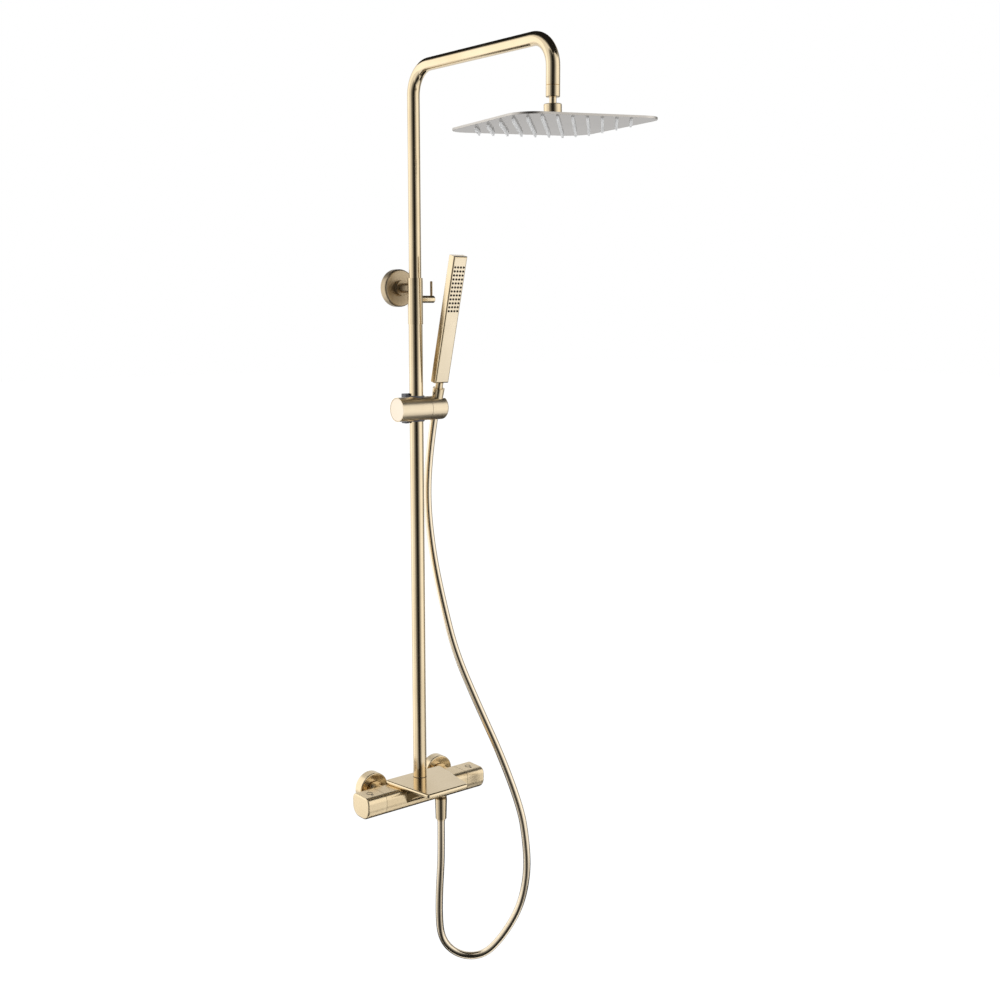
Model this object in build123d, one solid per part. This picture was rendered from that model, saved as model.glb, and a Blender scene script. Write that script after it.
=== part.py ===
from build123d import *
import os
from math import cos, radians, sin, sqrt, tan

# Driving dimensions, in millimetres, degrees and counts.
# The wall is the plane Y = 0, the inlet axes lie at Z = 0, and the front faces -Y.

# Shared fits
RUNNING_FIT = 0.06
SEAT_GAP = 0.1
THREAD_GAP = 0.15
CLEARANCE = 0.3
OVERSHOOT = 1.0

# Wall connections
INLET_SPACING = 150.0
COLUMN_OFFSET = 60.0
INLET_RISE = 8.0
G_HALF_D = 20.956
G_THREE_QUARTER_D = 26.4
WALL_THREAD_LENGTH = 14.0
UNION_BORE = 13.0
UNION_SHOULDER = 2.0
ROSETTE_D = 60.0
ROSETTE_WALL = 3.0
ROSETTE_EDGE = 2.0
ROSETTE_NUT_GAP = 2.5
UNION_NUT_D = 31.0
UNION_NUT_FLATS = 29.4
UNION_NUT_LENGTH = 12.6
UNION_NUT_WALL = 2.8
FILTER_WASHER_THICKNESS = 2.0
TAIL_D = 21.0
TAIL_LIP_D = 25.0
TAIL_LIP_LENGTH = 2.2
TAIL_DEPTH = 10.5
TAIL_BORE = 14.0
CHECK_VALVE_LENGTH = 12.0
CHECK_VALVE_BORE = 7.0

# Bar mixer
BAR_LENGTH = 266.0
BAR_DEPTH = 53.0
BAR_HEIGHT = 42.0
BAR_TOP_RADIUS = 11.0
BAR_BOTTOM_RADIUS = 20.0
INLET_BOSS_D = 25.6
CARTRIDGE_D = 29.8
CARTRIDGE_DEPTH = 56.0
MIXING_CHANNEL_D = 14.0
OUTLET_BORE = 12.0

# Knobs and cartridges
BODY_END_MARGIN = 4.6
KNOB_GAP = 0.6
KNOB_WALL = 3.0
KNOB_END_WALL = 5.0
KNOB_EDGE = 3.0
KNOB_HUB_D = 16.0
KNOB_HUB_GAP = 1.0
CARTRIDGE_NOSE_D = 20.0
CARTRIDGE_NOSE_LENGTH = 13.0
SPINDLE_D = 8.0
SPINDLE_DEPTH = 11.0
STOP_RING_D = 30.0
STOP_RING_LENGTH = 4.0
KNOB_SCREW_D = 4.0

# Shelf
SHELF_BACK_WIDTH = 129.0
SHELF_FRONT_WIDTH = 92.4
SHELF_REACH = 90.0
SHELF_BACK_REACH = 25.0
SHELF_THICKNESS = 7.0
SHELF_CORNER = 6.0
SHELF_TOP_EDGE = 4.0
SHELF_BOTTOM_EDGE = 2.0
GUSSET_INSET = 8.0
GUSSET_DROP = 26.0
GUSSET_HOLLOW = 7.0

# Riser pipe and its base
RISER_D = 25.0
RISER_WALL = 1.2
RISER_TOP_Z = 892.0
BASE_THREAD_D = 19.0
BASE_THREAD_DEPTH = 14.0
BASE_SPIGOT_LENGTH = 25.0
BASE_BORE = 12.0
BASE_SEAL_THICKNESS = 0.8
O_RING_SECTION = 1.6
O_RING_SPACING = 8.0

# Bracket sleeve, wall flange and lock
SLEEVE_D = 27.0
SLEEVE_BOTTOM_Z = 861.0
SLEEVE_LENGTH = 81.0
GUIDE_BUSH_LENGTH = 16.0
GUIDE_BUSH_D = 25.0
BRACKET_Z = 925.0
BRACKET_ROD_D = 17.0
FLANGE_D = 67.0
FLANGE_DEPTH = 15.0
FLANGE_WALL = 3.0
FLANGE_EDGE = 4.0
FLANGE_BOSS_D = 28.0
FLANGE_BOSS_LENGTH = 8.0
BASE_PLATE_D = 48.0
BASE_PLATE_THICKNESS = 4.0
BASE_PLATE_SPIGOT_D = 12.0
BASE_PLATE_SPIGOT_LENGTH = 16.0
WALL_SCREW_SPACING = 30.0
WALL_SCREW_HOLE_D = 5.2
GRUB_SCREW_D = 4.0
LOCK_Z = 905.0
LOCK_D = 13.0
LOCK_BARREL_END = 27.0
LOCK_KNOB_LENGTH = 12.4
LOCK_SCREW_D = 8.0
LEVER_D = 4.4
LEVER_LENGTH = 32.0
LEVER_INSET = 4.6

# Shower arm
ARM_D = 22.0
ARM_WALL = 1.2
ARM_Z = 1301.0
ARM_REACH = 367.0
ARM_BEND_RADIUS = 47.0
ARM_LOWER_Z = 842.0
ARM_DROP_END_Z = 1226.4
TAIL_PLUG_SPIGOT_D = 19.0
TAIL_PLUG_SPIGOT_LENGTH = 18.0
TAIL_PLUG_FLANGE = 2.0
TAIL_PLUG_INSERT = 14.0
TAIL_PLUG_BORE = 14.0
GUIDE_RING_LENGTH = 13.4
CLIP_THICKNESS = 1.5
CLIP_DEPTH = 0.5
CLIP_LIP = 0.7

# Ball joint
COLLAR_LENGTH = 17.9
COLLAR_EDGE = 0.8
STEM_SHANK_D = 18.0
STEM_INSERT = 13.0
STEM_NECK_D = 11.2
STEM_BORE = 7.0
BALL_D = 19.0
BALL_DROP = 19.8
BALL_SHELL = 1.34
BALL_TILT = 12.0
RING_LOW_ANGLE = 12.0
RING_HIGH_ANGLE = 42.0
SEAT_LOW_ANGLE = 60.0
SEAT_HIGH_ANGLE = 14.0
HEAD_NUT_D = 28.0
HEAD_NUT_LENGTH = 20.0
HEAD_NUT_TOP = 10.0
HEAD_NUT_EDGE = 1.5
BOSS_NECK_D = 24.8
BOSS_NECK_LENGTH = 6.5

# Rain head
HEAD_SIDE = 250.0
HEAD_CORNER = 38.0
HEAD_THICKNESS = 3.2
HEAD_SHEET = 0.9
HEAD_RIM = 2.0
HEAD_YAW = -11.5
HEAD_LEAN = 1.8
HEAD_STANDOFF = 28.7
MAT_THICKNESS = 0.8
MAT_MARGIN = 4.0
NOZZLE_COLUMNS = 9
NOZZLE_ROWS = 11
NOZZLE_PITCH_X = 25.3
NOZZLE_PITCH_Y = 20.3
NOZZLE_ROOT_D = 4.8
NOZZLE_TIP_D = 3.2
NOZZLE_LENGTH = 6.5
NOZZLE_HOLE_D = 5.4

# Slider
SLIDER_Z = 711.0
SLIDER_D = 43.0
SLIDER_AXIS_AHEAD = 6.5
SLIDER_LEFT = 47.0
SLIDER_RIGHT = 17.3
BUSH_D = 29.0
BUSH_LENGTH = 46.0
INSERT_LEFT = 21.0
INSERT_RIGHT = 14.2
INSERT_DEPTH = 15.0
INSERT_BACK = 18.5
INSERT_HEIGHT = 53.0
BUTTON_RIM = 1.1
BUTTON_THICKNESS = 6.0
BUTTON_TRAVEL = 4.0
BUTTON_POCKET = 11.5
BUTTON_EDGE = 1.0
BUTTON_STEM_D = 10.0
BUTTON_STEM_LENGTH = 16.0
SPRING_D = 15.0
SPRING_WIRE = 0.9
SPRING_TURNS = 2

# Handset holder
HOLDER_GAP = 0.6
HOLDER_RIGHT = 54.0
HOLDER_EDGE = 5.0
HOLDER_STUB_D = 18.0
HOLDER_STUB_LENGTH = 7.6
HOLDER_WASHER_D = 38.0
HOLDER_WASHER_BORE = 24.0
HOLDER_SLOT = 15.4

# Handset
HANDSET_X = 38.5
HANDSET_TILT = 14.7
HANDSET_WIDTH = 30.0
HANDSET_THICKNESS = 15.0
HANDSET_LENGTH = 230.0
HANDSET_START = 48.0
HANDSET_WALL = 1.6
HANDSET_FACE = 2.0
HANDSET_EDGE = 1.0
HANDSET_FRONT_EDGE = 3.0
NECK_D = 14.0
NECK_BORE = 7.0
NECK_PLUG_D = 11.0
NECK_PLUG_LENGTH = 14.0
CONE_NUT_TOP_D = 21.8
CONE_NUT_BOTTOM_D = 18.0
CONE_NUT_START = -12.0
CONE_NUT_END = 37.0
CONE_NUT_FLOOR = 12.0
HANDSET_WASHER_THICKNESS = 2.0
SPRAY_COLUMNS = 4
SPRAY_ROWS = 12
SPRAY_PITCH = 7.1
SPRAY_PITCH_ACROSS = 6.2
SPRAY_TOP_MARGIN = 19.0
SPRAY_D = 3.6
SPRAY_STAND = 1.2
SPRAY_MAT_THICKNESS = 1.2
SPRAY_MAT_MARGIN = 4.0

# Hose, hung from the handset's nut to the outlet under the bar
HOSE_D = 14.0
HOSE_BORE = 8.5
HOSE_ARC_SHARE = 0.45
HOSE_START = 14.0
HOSE_STRAIGHT = 80.0
FERRULE_D = 15.6
FERRULE_NECK_D = 11.0
HOSE_OUTLET_X = 47.0
HOSE_OUTLET_AHEAD = 2.0
HOSE_END_Z = -79.0
HOSE_TAIL_Z = -151.0
OUTLET_THREAD_LENGTH = 22.0
OUTLET_WALL = 1.1
HOSE_NUT_TOP_D = 23.0
HOSE_NUT_BOTTOM_D = 20.6
HOSE_NUT_TOP_Z = -35.0
HOSE_NUT_BOTTOM_Z = -75.0
HOSE_NUT_FLOOR = 14.0
HOSE_ROUTE = [
    (38.5, -36, 540), (42, -47, 442), (53, -65, 344), (70, -80.5, 250), (101, -106.5, 152),
    (137, -135, 47), (166, -157.5, -58), (173, -163, -115), (176, -165.5, -170), (172, -162.5, -217),
    (164, -156, -256), (151, -145, -291), (133.5, -131.5, -324), (115, -116.5, -349), (94.5, -100, -357.5),
    (73, -83, -353), (55.5, -68.5, -337), (45.5, -60.5, -312), (43, -59, -275), (43.5, -59, -235),
    (45, -60.5, -193),
]

# Places worked out from the driving dimensions
COLUMN_Y = -COLUMN_OFFSET
COLUMN = (0, COLUMN_Y)
BAR_Z = -INLET_RISE
BAR_AXIS = (COLUMN_Y, BAR_Z)
BAR_TOP_Z = BAR_Z + BAR_HEIGHT / 2
BAR_BOTTOM_Z = BAR_Z - BAR_HEIGHT / 2
BAR_BACK_Y = COLUMN_Y + BAR_DEPTH / 2
BAR_FRONT_Y = COLUMN_Y - BAR_DEPTH / 2
BAR_HALF = BAR_LENGTH / 2
BODY_HALF = INLET_SPACING / 2 + INLET_BOSS_D / 2 + BODY_END_MARGIN
KNOB_LENGTH = BAR_HALF - BODY_HALF - KNOB_GAP
NOSE_END = BODY_HALF + CARTRIDGE_NOSE_LENGTH
KNOB_HUB_LENGTH = BAR_HALF - KNOB_END_WALL - NOSE_END - KNOB_HUB_GAP
SHELF_TOP_Z = BAR_TOP_Z + SHELF_THICKNESS
RISER_BORE = RISER_D - 2 * RISER_WALL
RISER_BOTTOM_Z = SHELF_TOP_Z + BASE_SEAL_THICKNESS
SLEEVE_TOP_Z = SLEEVE_BOTTOM_Z + SLEEVE_LENGTH
ARM_BORE = ARM_D - 2 * ARM_WALL
ARM_Y = COLUMN_Y - ARM_REACH
DROP = (0, ARM_Y)
BALL_Z = ARM_DROP_END_Z - COLLAR_LENGTH - BALL_DROP
SHELL_INNER_R = BALL_D / 2 + RUNNING_FIT
SHELL_OUTER_R = SHELL_INNER_R + BALL_SHELL
CAVITY_R = SHELL_OUTER_R + SEAT_GAP
HEAD_NUT_TOP_Z = BALL_Z + HEAD_NUT_TOP
HEAD_TOP_Z = HEAD_NUT_TOP_Z - HEAD_STANDOFF
HEAD_BOTTOM_Z = HEAD_TOP_Z - HEAD_THICKNESS
SLIDER_Y = COLUMN_Y - SLIDER_AXIS_AHEAD
SLIDER_AXIS = (SLIDER_Y, SLIDER_Z)
HOLDER_LEFT = SLIDER_RIGHT + HOLDER_GAP
HANDSET_PLACE = Pos(HANDSET_X, SLIDER_Y, SLIDER_Z) * Rot(HANDSET_TILT, 0, 0)
HOSE_OUTLET = (HOSE_OUTLET_X, COLUMN_Y - HOSE_OUTLET_AHEAD)
OUTLET_INSERT = (BAR_HEIGHT - CARTRIDGE_D) / 2 - OUTLET_WALL


def rod(diameter, start, end, axis, at):
    """Round bar on an X, Y or Z line, from start to end, with at its place on the other two axes."""
    bar = Cylinder(diameter / 2, end - start, align=(Align.CENTER, Align.CENTER, Align.MIN))
    if axis == "X":
        return Pos(start, at[0], at[1]) * Rot(0, 90, 0) * bar
    if axis == "Y":
        return Pos(at[0], start, at[1]) * Rot(-90, 0, 0) * bar
    return Pos(at[0], at[1], start) * bar


def taper(start_d, end_d, start, end, at):
    """Round taper on a Z line, from start to end."""
    cone = Cone(start_d / 2, end_d / 2, end - start, align=(Align.CENTER, Align.CENTER, Align.MIN))
    return Pos(at[0], at[1], start) * cone


def ring(outer, inner, start, end, axis, at):
    """Round tube with a straight bore."""
    return rod(outer, start, end, axis, at) - rod(inner, start - OVERSHOOT, end + OVERSHOOT, axis, at)


def end_edges(solid, axis, last):
    """Edges of the solid's first or last flat end along an axis."""
    faces = solid.faces().filter_by(axis).sort_by(axis)
    return faces[-1 if last else 0].edges()


def mirror_pair(make):
    """One solid made on each side of the column, left and then right."""
    return [make(-1), make(1)]


def inlet(side):
    return (side * INLET_SPACING / 2, 0)


# Wall connections, from the wall forwards to the bar

TAIL_FRONT_Y = BAR_BACK_Y + SEAT_GAP + UNION_NUT_WALL + SEAT_GAP + TAIL_LIP_LENGTH
UNION_FRONT_Y = TAIL_FRONT_Y + FILTER_WASHER_THICKNESS
NUT_FRONT_Y = BAR_BACK_Y + SEAT_GAP
NUT_BACK_Y = NUT_FRONT_Y + UNION_NUT_LENGTH
ROSETTE_FRONT_Y = NUT_BACK_Y + ROSETTE_NUT_GAP


def wall_union(side):
    at = inlet(side)
    shape = rod(G_HALF_D, -UNION_SHOULDER, WALL_THREAD_LENGTH, "Y", at)
    shape += rod(G_THREE_QUARTER_D, UNION_FRONT_Y, -UNION_SHOULDER, "Y", at)
    return shape - rod(UNION_BORE, UNION_FRONT_Y - OVERSHOOT, WALL_THREAD_LENGTH + OVERSHOOT, "Y", at)


def rosette(side):
    at = inlet(side)
    shape = rod(ROSETTE_D, ROSETTE_FRONT_Y, 0, "Y", at)
    shape = fillet(end_edges(shape, Axis.Y, False), ROSETTE_EDGE)
    shape -= rod(ROSETTE_D - 2 * ROSETTE_WALL, ROSETTE_FRONT_Y + ROSETTE_WALL, OVERSHOOT, "Y", at)
    hole_d = G_THREE_QUARTER_D + 2 * THREAD_GAP
    return shape - rod(hole_d, ROSETTE_FRONT_Y - OVERSHOOT, OVERSHOOT, "Y", at)


def union_nut(side):
    at = inlet(side)
    shape = rod(UNION_NUT_D, NUT_FRONT_Y, NUT_BACK_Y, "Y", at)
    hexagon = RegularPolygon(UNION_NUT_FLATS / 2, 6, major_radius=False)
    prism = extrude(Plane.XZ * hexagon, UNION_NUT_LENGTH)
    shape &= Pos(at[0], NUT_BACK_Y, at[1]) * prism
    thread_d = G_THREE_QUARTER_D + 2 * THREAD_GAP
    shape -= rod(thread_d, NUT_FRONT_Y + UNION_NUT_WALL, NUT_BACK_Y + OVERSHOOT, "Y", at)
    return shape - rod(TAIL_D + 2 * CLEARANCE, NUT_FRONT_Y - OVERSHOOT, NUT_BACK_Y, "Y", at)


def filter_washer(side):
    return ring(TAIL_LIP_D, UNION_BORE, TAIL_FRONT_Y, UNION_FRONT_Y, "Y", inlet(side))


def inlet_tail(side):
    at = inlet(side)
    start = BAR_BACK_Y - TAIL_DEPTH
    shape = rod(TAIL_D, start, TAIL_FRONT_Y, "Y", at)
    shape += rod(TAIL_LIP_D, TAIL_FRONT_Y - TAIL_LIP_LENGTH, TAIL_FRONT_Y, "Y", at)
    return shape - rod(TAIL_BORE, start - OVERSHOOT, TAIL_FRONT_Y + OVERSHOOT, "Y", at)


def check_valve(side):
    start = BAR_BACK_Y - TAIL_DEPTH
    return ring(TAIL_BORE - 2 * SEAT_GAP, CHECK_VALVE_BORE, start, start + CHECK_VALVE_LENGTH, "Y", inlet(side))


# Bar mixer with its shelf, cartridges and knobs


def bar_section(grow):
    """Rounded outline of the bar, grown or shrunk all round, drawn across the bar."""
    outline = Rectangle(BAR_DEPTH + 2 * grow, BAR_HEIGHT + 2 * grow)
    outline = fillet(outline.vertices().sort_by(Axis.Y)[:2], BAR_BOTTOM_RADIUS + grow)
    return fillet(outline.vertices().sort_by(Axis.Y)[-2:], BAR_TOP_RADIUS + grow)


def bar_length(start, end, grow=0.0):
    return Pos(start, COLUMN_Y, BAR_Z) * extrude(Plane.YZ * bar_section(grow), end - start)


def valve_body():
    shape = bar_length(-BODY_HALF, BODY_HALF)
    bore_d = CARTRIDGE_D + 2 * SEAT_GAP
    bore_end = BODY_HALF - CARTRIDGE_DEPTH
    for side in (-1, 1):
        at = inlet(side)
        shape += rod(INLET_BOSS_D, COLUMN_Y, BAR_BACK_Y, "Y", at)
        shape -= rod(TAIL_D + 2 * SEAT_GAP, BAR_BACK_Y - TAIL_DEPTH, BAR_BACK_Y + OVERSHOOT, "Y", at)
        shape -= rod(UNION_BORE, COLUMN_Y, BAR_BACK_Y, "Y", at)
    shape -= rod(bore_d, -BODY_HALF - OVERSHOOT, -bore_end, "X", BAR_AXIS)
    shape -= rod(bore_d, bore_end, BODY_HALF + OVERSHOOT, "X", BAR_AXIS)
    shape -= rod(MIXING_CHANNEL_D, -BODY_HALF, BODY_HALF, "X", BAR_AXIS)
    shape -= rod(BASE_THREAD_D + 2 * SEAT_GAP, BAR_TOP_Z - BASE_THREAD_DEPTH, BAR_TOP_Z + OVERSHOOT, "Z", COLUMN)
    shape -= rod(OUTLET_BORE, BAR_Z, BAR_TOP_Z, "Z", COLUMN)
    outlet_d = G_HALF_D + 2 * SEAT_GAP
    shape -= rod(outlet_d, BAR_BOTTOM_Z - OVERSHOOT, BAR_BOTTOM_Z + OUTLET_INSERT, "Z", HOSE_OUTLET)
    return shape - rod(OUTLET_BORE, BAR_BOTTOM_Z, BAR_Z, "Z", HOSE_OUTLET)


def shelf_plan(inset):
    """Trapezoid of the shelf seen from above, with every side moved in by inset."""
    back_y = COLUMN_Y + SHELF_BACK_REACH
    front_y = COLUMN_Y - SHELF_REACH
    back_half = SHELF_BACK_WIDTH / 2
    front_half = SHELF_FRONT_WIDTH / 2
    corners = [(-back_half, back_y), (back_half, back_y), (front_half, front_y), (-front_half, front_y)]
    outline = make_face(Polyline(*corners, close=True))
    outline = offset(outline, -inset, kind=Kind.INTERSECTION) if inset else outline
    return fillet(outline.vertices(), SHELF_CORNER)


def shelf():
    shape = Pos(0, 0, BAR_TOP_Z) * extrude(shelf_plan(0), SHELF_THICKNESS)
    shape = fillet(end_edges(shape, Axis.Z, False), SHELF_BOTTOM_EDGE)
    shape = fillet(end_edges(shape, Axis.Z, True), SHELF_TOP_EDGE)
    root_y = BAR_FRONT_Y + BAR_TOP_RADIUS + CLEARANCE
    nose_y = COLUMN_Y - SHELF_REACH + GUSSET_INSET
    inside_z = BAR_TOP_Z + SHELF_THICKNESS / 2
    root_z = BAR_TOP_Z - GUSSET_DROP
    nose = Vector(nose_y, BAR_TOP_Z)
    heel = Vector(BAR_FRONT_Y, root_z)
    middle = (nose + heel) / 2 + (Vector(BAR_FRONT_Y, BAR_TOP_Z) - (nose + heel) / 2).normalized() * GUSSET_HOLLOW
    sweep_line = ThreePointArc(nose, middle, heel)
    back_line = Polyline(heel, (root_y, root_z), (root_y, inside_z), (nose_y, inside_z), nose)
    profile = make_face(Curve() + [sweep_line, back_line])
    gusset = Pos(-SHELF_BACK_WIDTH / 2, 0, 0) * extrude(Plane.YZ * profile, SHELF_BACK_WIDTH)
    gusset &= Pos(0, 0, root_z) * extrude(shelf_plan(GUSSET_INSET), GUSSET_DROP + SHELF_THICKNESS)
    shape += gusset
    shape -= bar_length(-BODY_HALF, BODY_HALF, SEAT_GAP)
    return shape - rod(BASE_THREAD_D + 2 * CLEARANCE, BAR_TOP_Z - OVERSHOOT, SHELF_TOP_Z + OVERSHOOT, "Z", COLUMN)


def along_bar(side, start, end):
    """Ends of a piece that points out of the bar on one side, in rising order."""
    return (start, end) if side > 0 else (-end, -start)


def cartridge(side):
    start, end = along_bar(side, BODY_HALF - CARTRIDGE_DEPTH + SEAT_GAP, BODY_HALF)
    shape = rod(CARTRIDGE_D, start, end, "X", BAR_AXIS)
    start, end = along_bar(side, BODY_HALF, NOSE_END)
    shape += rod(CARTRIDGE_NOSE_D, start, end, "X", BAR_AXIS)
    start, end = along_bar(side, NOSE_END - SPINDLE_DEPTH, NOSE_END + OVERSHOOT)
    shape -= rod(SPINDLE_D + 2 * RUNNING_FIT, start, end, "X", BAR_AXIS)
    start, end = along_bar(side, BODY_HALF - CARTRIDGE_DEPTH, BODY_HALF - SPINDLE_DEPTH)
    waterway = rod(CARTRIDGE_NOSE_D, start, end, "X", BAR_AXIS)
    port = rod(UNION_BORE, COLUMN_Y, BAR_BACK_Y, "Y", inlet(side))
    outlet = rod(OUTLET_BORE, BAR_BOTTOM_Z, BAR_Z, "Z", HOSE_OUTLET)
    return shape - waterway - port - outlet


def stop_ring(side):
    start, end = along_bar(side, BODY_HALF, BODY_HALF + STOP_RING_LENGTH)
    return ring(STOP_RING_D, CARTRIDGE_NOSE_D + 2 * SEAT_GAP, start, end, "X", BAR_AXIS)


def spindle(side):
    start, end = along_bar(side, NOSE_END - SPINDLE_DEPTH + CLEARANCE, BAR_HALF - KNOB_END_WALL - SEAT_GAP)
    return rod(SPINDLE_D, start, end, "X", BAR_AXIS)


def knob_screw_x(side):
    return side * (BAR_HALF - KNOB_END_WALL - KNOB_HUB_LENGTH / 2)


def knob(side):
    inner_end = BAR_HALF - KNOB_LENGTH
    start, end = along_bar(side, inner_end, BAR_HALF)
    shape = bar_length(start, end)
    shape = fillet(end_edges(shape, Axis.X, side > 0), KNOB_EDGE)
    start, end = along_bar(side, inner_end - OVERSHOOT, BAR_HALF - KNOB_END_WALL)
    hollow = bar_length(start, end, -KNOB_WALL)
    start, end = along_bar(side, BAR_HALF - KNOB_END_WALL - KNOB_HUB_LENGTH, BAR_HALF - KNOB_END_WALL + OVERSHOOT)
    hollow -= rod(KNOB_HUB_D, start, end, "X", BAR_AXIS)
    shape -= hollow
    start, end = along_bar(side, inner_end, BAR_HALF - KNOB_END_WALL)
    shape -= rod(SPINDLE_D + 2 * SEAT_GAP, start, end, "X", BAR_AXIS)
    screw_at = (knob_screw_x(side), COLUMN_Y)
    return shape - rod(KNOB_SCREW_D + 2 * SEAT_GAP, BAR_BOTTOM_Z - OVERSHOOT, BAR_Z, "Z", screw_at)


def knob_screw(side):
    low = BAR_BOTTOM_Z + KNOB_WALL
    high = BAR_Z - SPINDLE_D / 2 - SEAT_GAP
    return rod(KNOB_SCREW_D, low, high, "Z", (knob_screw_x(side), COLUMN_Y))


# Riser with its base, the bracket that ties it to the wall, and the height lock


def o_ring_groove(center_z):
    """Ring of space that an O-ring takes up on the base nipple's spigot."""
    low = center_z - O_RING_SECTION / 2
    high = center_z + O_RING_SECTION / 2
    spigot_d = RISER_BORE - 2 * SEAT_GAP
    return ring(spigot_d + 2 * OVERSHOOT, spigot_d - 2 * O_RING_SECTION, low, high, "Z", COLUMN)


def o_ring_heights():
    middle = SHELF_TOP_Z + BASE_SPIGOT_LENGTH / 2
    return [middle - O_RING_SPACING / 2, middle + O_RING_SPACING / 2]


def riser_base_nipple():
    spigot_d = RISER_BORE - 2 * SEAT_GAP
    top = SHELF_TOP_Z + BASE_SPIGOT_LENGTH
    shape = rod(BASE_THREAD_D, BAR_TOP_Z - BASE_THREAD_DEPTH + SEAT_GAP, SHELF_TOP_Z, "Z", COLUMN)
    shape += rod(spigot_d, SHELF_TOP_Z, top, "Z", COLUMN)
    for height in o_ring_heights():
        shape -= o_ring_groove(height)
    return shape - rod(BASE_BORE, BAR_Z, top + OVERSHOOT, "Z", COLUMN)


def riser_seals():
    """Flat gasket under the pipe, and two O-rings inside it."""
    gasket = ring(RISER_D, RISER_BORE + 2 * SEAT_GAP, SHELF_TOP_Z, RISER_BOTTOM_Z, "Z", COLUMN)
    ring_r = RISER_BORE / 2 - SEAT_GAP - O_RING_SECTION / 2
    rings = [Pos(0, COLUMN_Y, z) * Torus(ring_r, O_RING_SECTION / 2 - SEAT_GAP / 2) for z in o_ring_heights()]
    return [gasket] + rings


def riser_pipe():
    return ring(RISER_D, RISER_BORE, RISER_BOTTOM_Z, RISER_TOP_Z, "Z", COLUMN)


def bracket_sleeve():
    shape = rod(SLEEVE_D, SLEEVE_BOTTOM_Z, SLEEVE_TOP_Z, "Z", COLUMN)
    shape -= rod(RISER_D + 2 * SEAT_GAP, SLEEVE_BOTTOM_Z - OVERSHOOT, RISER_TOP_Z + SEAT_GAP, "Z", COLUMN)
    shape -= rod(ARM_D + 2 * CLEARANCE, SLEEVE_BOTTOM_Z, SLEEVE_TOP_Z + OVERSHOOT, "Z", COLUMN)
    bush_low = SLEEVE_TOP_Z - GUIDE_BUSH_LENGTH
    shape -= rod(GUIDE_BUSH_D + 2 * SEAT_GAP, bush_low, SLEEVE_TOP_Z + OVERSHOOT, "Z", COLUMN)
    return shape - rod(LOCK_SCREW_D + 2 * CLEARANCE, 0, SLEEVE_D, "X", (COLUMN_Y, LOCK_Z))


def sleeve_guide_bush():
    low = SLEEVE_TOP_Z - GUIDE_BUSH_LENGTH + SEAT_GAP
    return ring(GUIDE_BUSH_D, ARM_D + 2 * RUNNING_FIT, low, SLEEVE_TOP_Z, "Z", COLUMN)


BRACKET = (0, BRACKET_Z)
BOSS_FRONT_Y = -FLANGE_DEPTH - FLANGE_BOSS_LENGTH
GRUB_Y = -FLANGE_DEPTH - FLANGE_BOSS_LENGTH / 2
ROD_BACK_Y = -BASE_PLATE_THICKNESS - SEAT_GAP


def grub_hole():
    return rod(GRUB_SCREW_D + 2 * SEAT_GAP, BRACKET_Z - FLANGE_D / 2, BRACKET_Z, "Z", (0, GRUB_Y))


def wall_flange():
    shape = rod(FLANGE_D, -FLANGE_DEPTH, 0, "Y", BRACKET)
    shape = fillet(end_edges(shape, Axis.Y, False), FLANGE_EDGE)
    shape += rod(FLANGE_BOSS_D, BOSS_FRONT_Y, -FLANGE_DEPTH + FLANGE_WALL, "Y", BRACKET)
    shape -= rod(FLANGE_D - 2 * FLANGE_WALL, -FLANGE_DEPTH + FLANGE_WALL, OVERSHOOT, "Y", BRACKET)
    shape -= rod(BRACKET_ROD_D + 2 * SEAT_GAP, BOSS_FRONT_Y - OVERSHOOT, OVERSHOOT, "Y", BRACKET)
    return shape - grub_hole()


def bracket_base():
    shape = rod(BASE_PLATE_D, -BASE_PLATE_THICKNESS, 0, "Y", BRACKET)
    spigot_front = -BASE_PLATE_THICKNESS - BASE_PLATE_SPIGOT_LENGTH
    shape += rod(BASE_PLATE_SPIGOT_D, spigot_front, -BASE_PLATE_THICKNESS, "Y", BRACKET)
    for side in (-1, 1):
        at = (side * WALL_SCREW_SPACING / 2, BRACKET_Z)
        shape -= rod(WALL_SCREW_HOLE_D, -BASE_PLATE_THICKNESS - OVERSHOOT, OVERSHOOT, "Y", at)
    return shape


def bracket_rod():
    shape = rod(BRACKET_ROD_D, COLUMN_Y, ROD_BACK_Y, "Y", BRACKET)
    socket_d = BASE_PLATE_SPIGOT_D + 2 * SEAT_GAP
    socket_end = -BASE_PLATE_THICKNESS - BASE_PLATE_SPIGOT_LENGTH - CLEARANCE
    shape -= rod(socket_d, socket_end, OVERSHOOT, "Y", BRACKET)
    shape -= grub_hole()
    half = BRACKET_ROD_D
    return shape - rod(SLEEVE_D + SEAT_GAP, BRACKET_Z - half, BRACKET_Z + half, "Z", COLUMN)


def bracket_grub_screw():
    low = BRACKET_Z - FLANGE_BOSS_D / 2 + SEAT_GAP
    return rod(GRUB_SCREW_D, low, BRACKET_Z - BASE_PLATE_SPIGOT_D / 2 - SEAT_GAP, "Z", (0, GRUB_Y))


LOCK = (COLUMN_Y, LOCK_Z)
LOCK_KNOB_START = LOCK_BARREL_END + CLEARANCE
LOCK_KNOB_END = LOCK_KNOB_START + LOCK_KNOB_LENGTH
LEVER_X = LOCK_KNOB_END - LEVER_INSET


def lock_barrel():
    shape = ring(LOCK_D, LOCK_SCREW_D + 2 * RUNNING_FIT, 0, LOCK_BARREL_END, "X", LOCK)
    return shape - rod(SLEEVE_D + SEAT_GAP, LOCK_Z - LOCK_D, LOCK_Z + LOCK_D, "Z", COLUMN)


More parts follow.
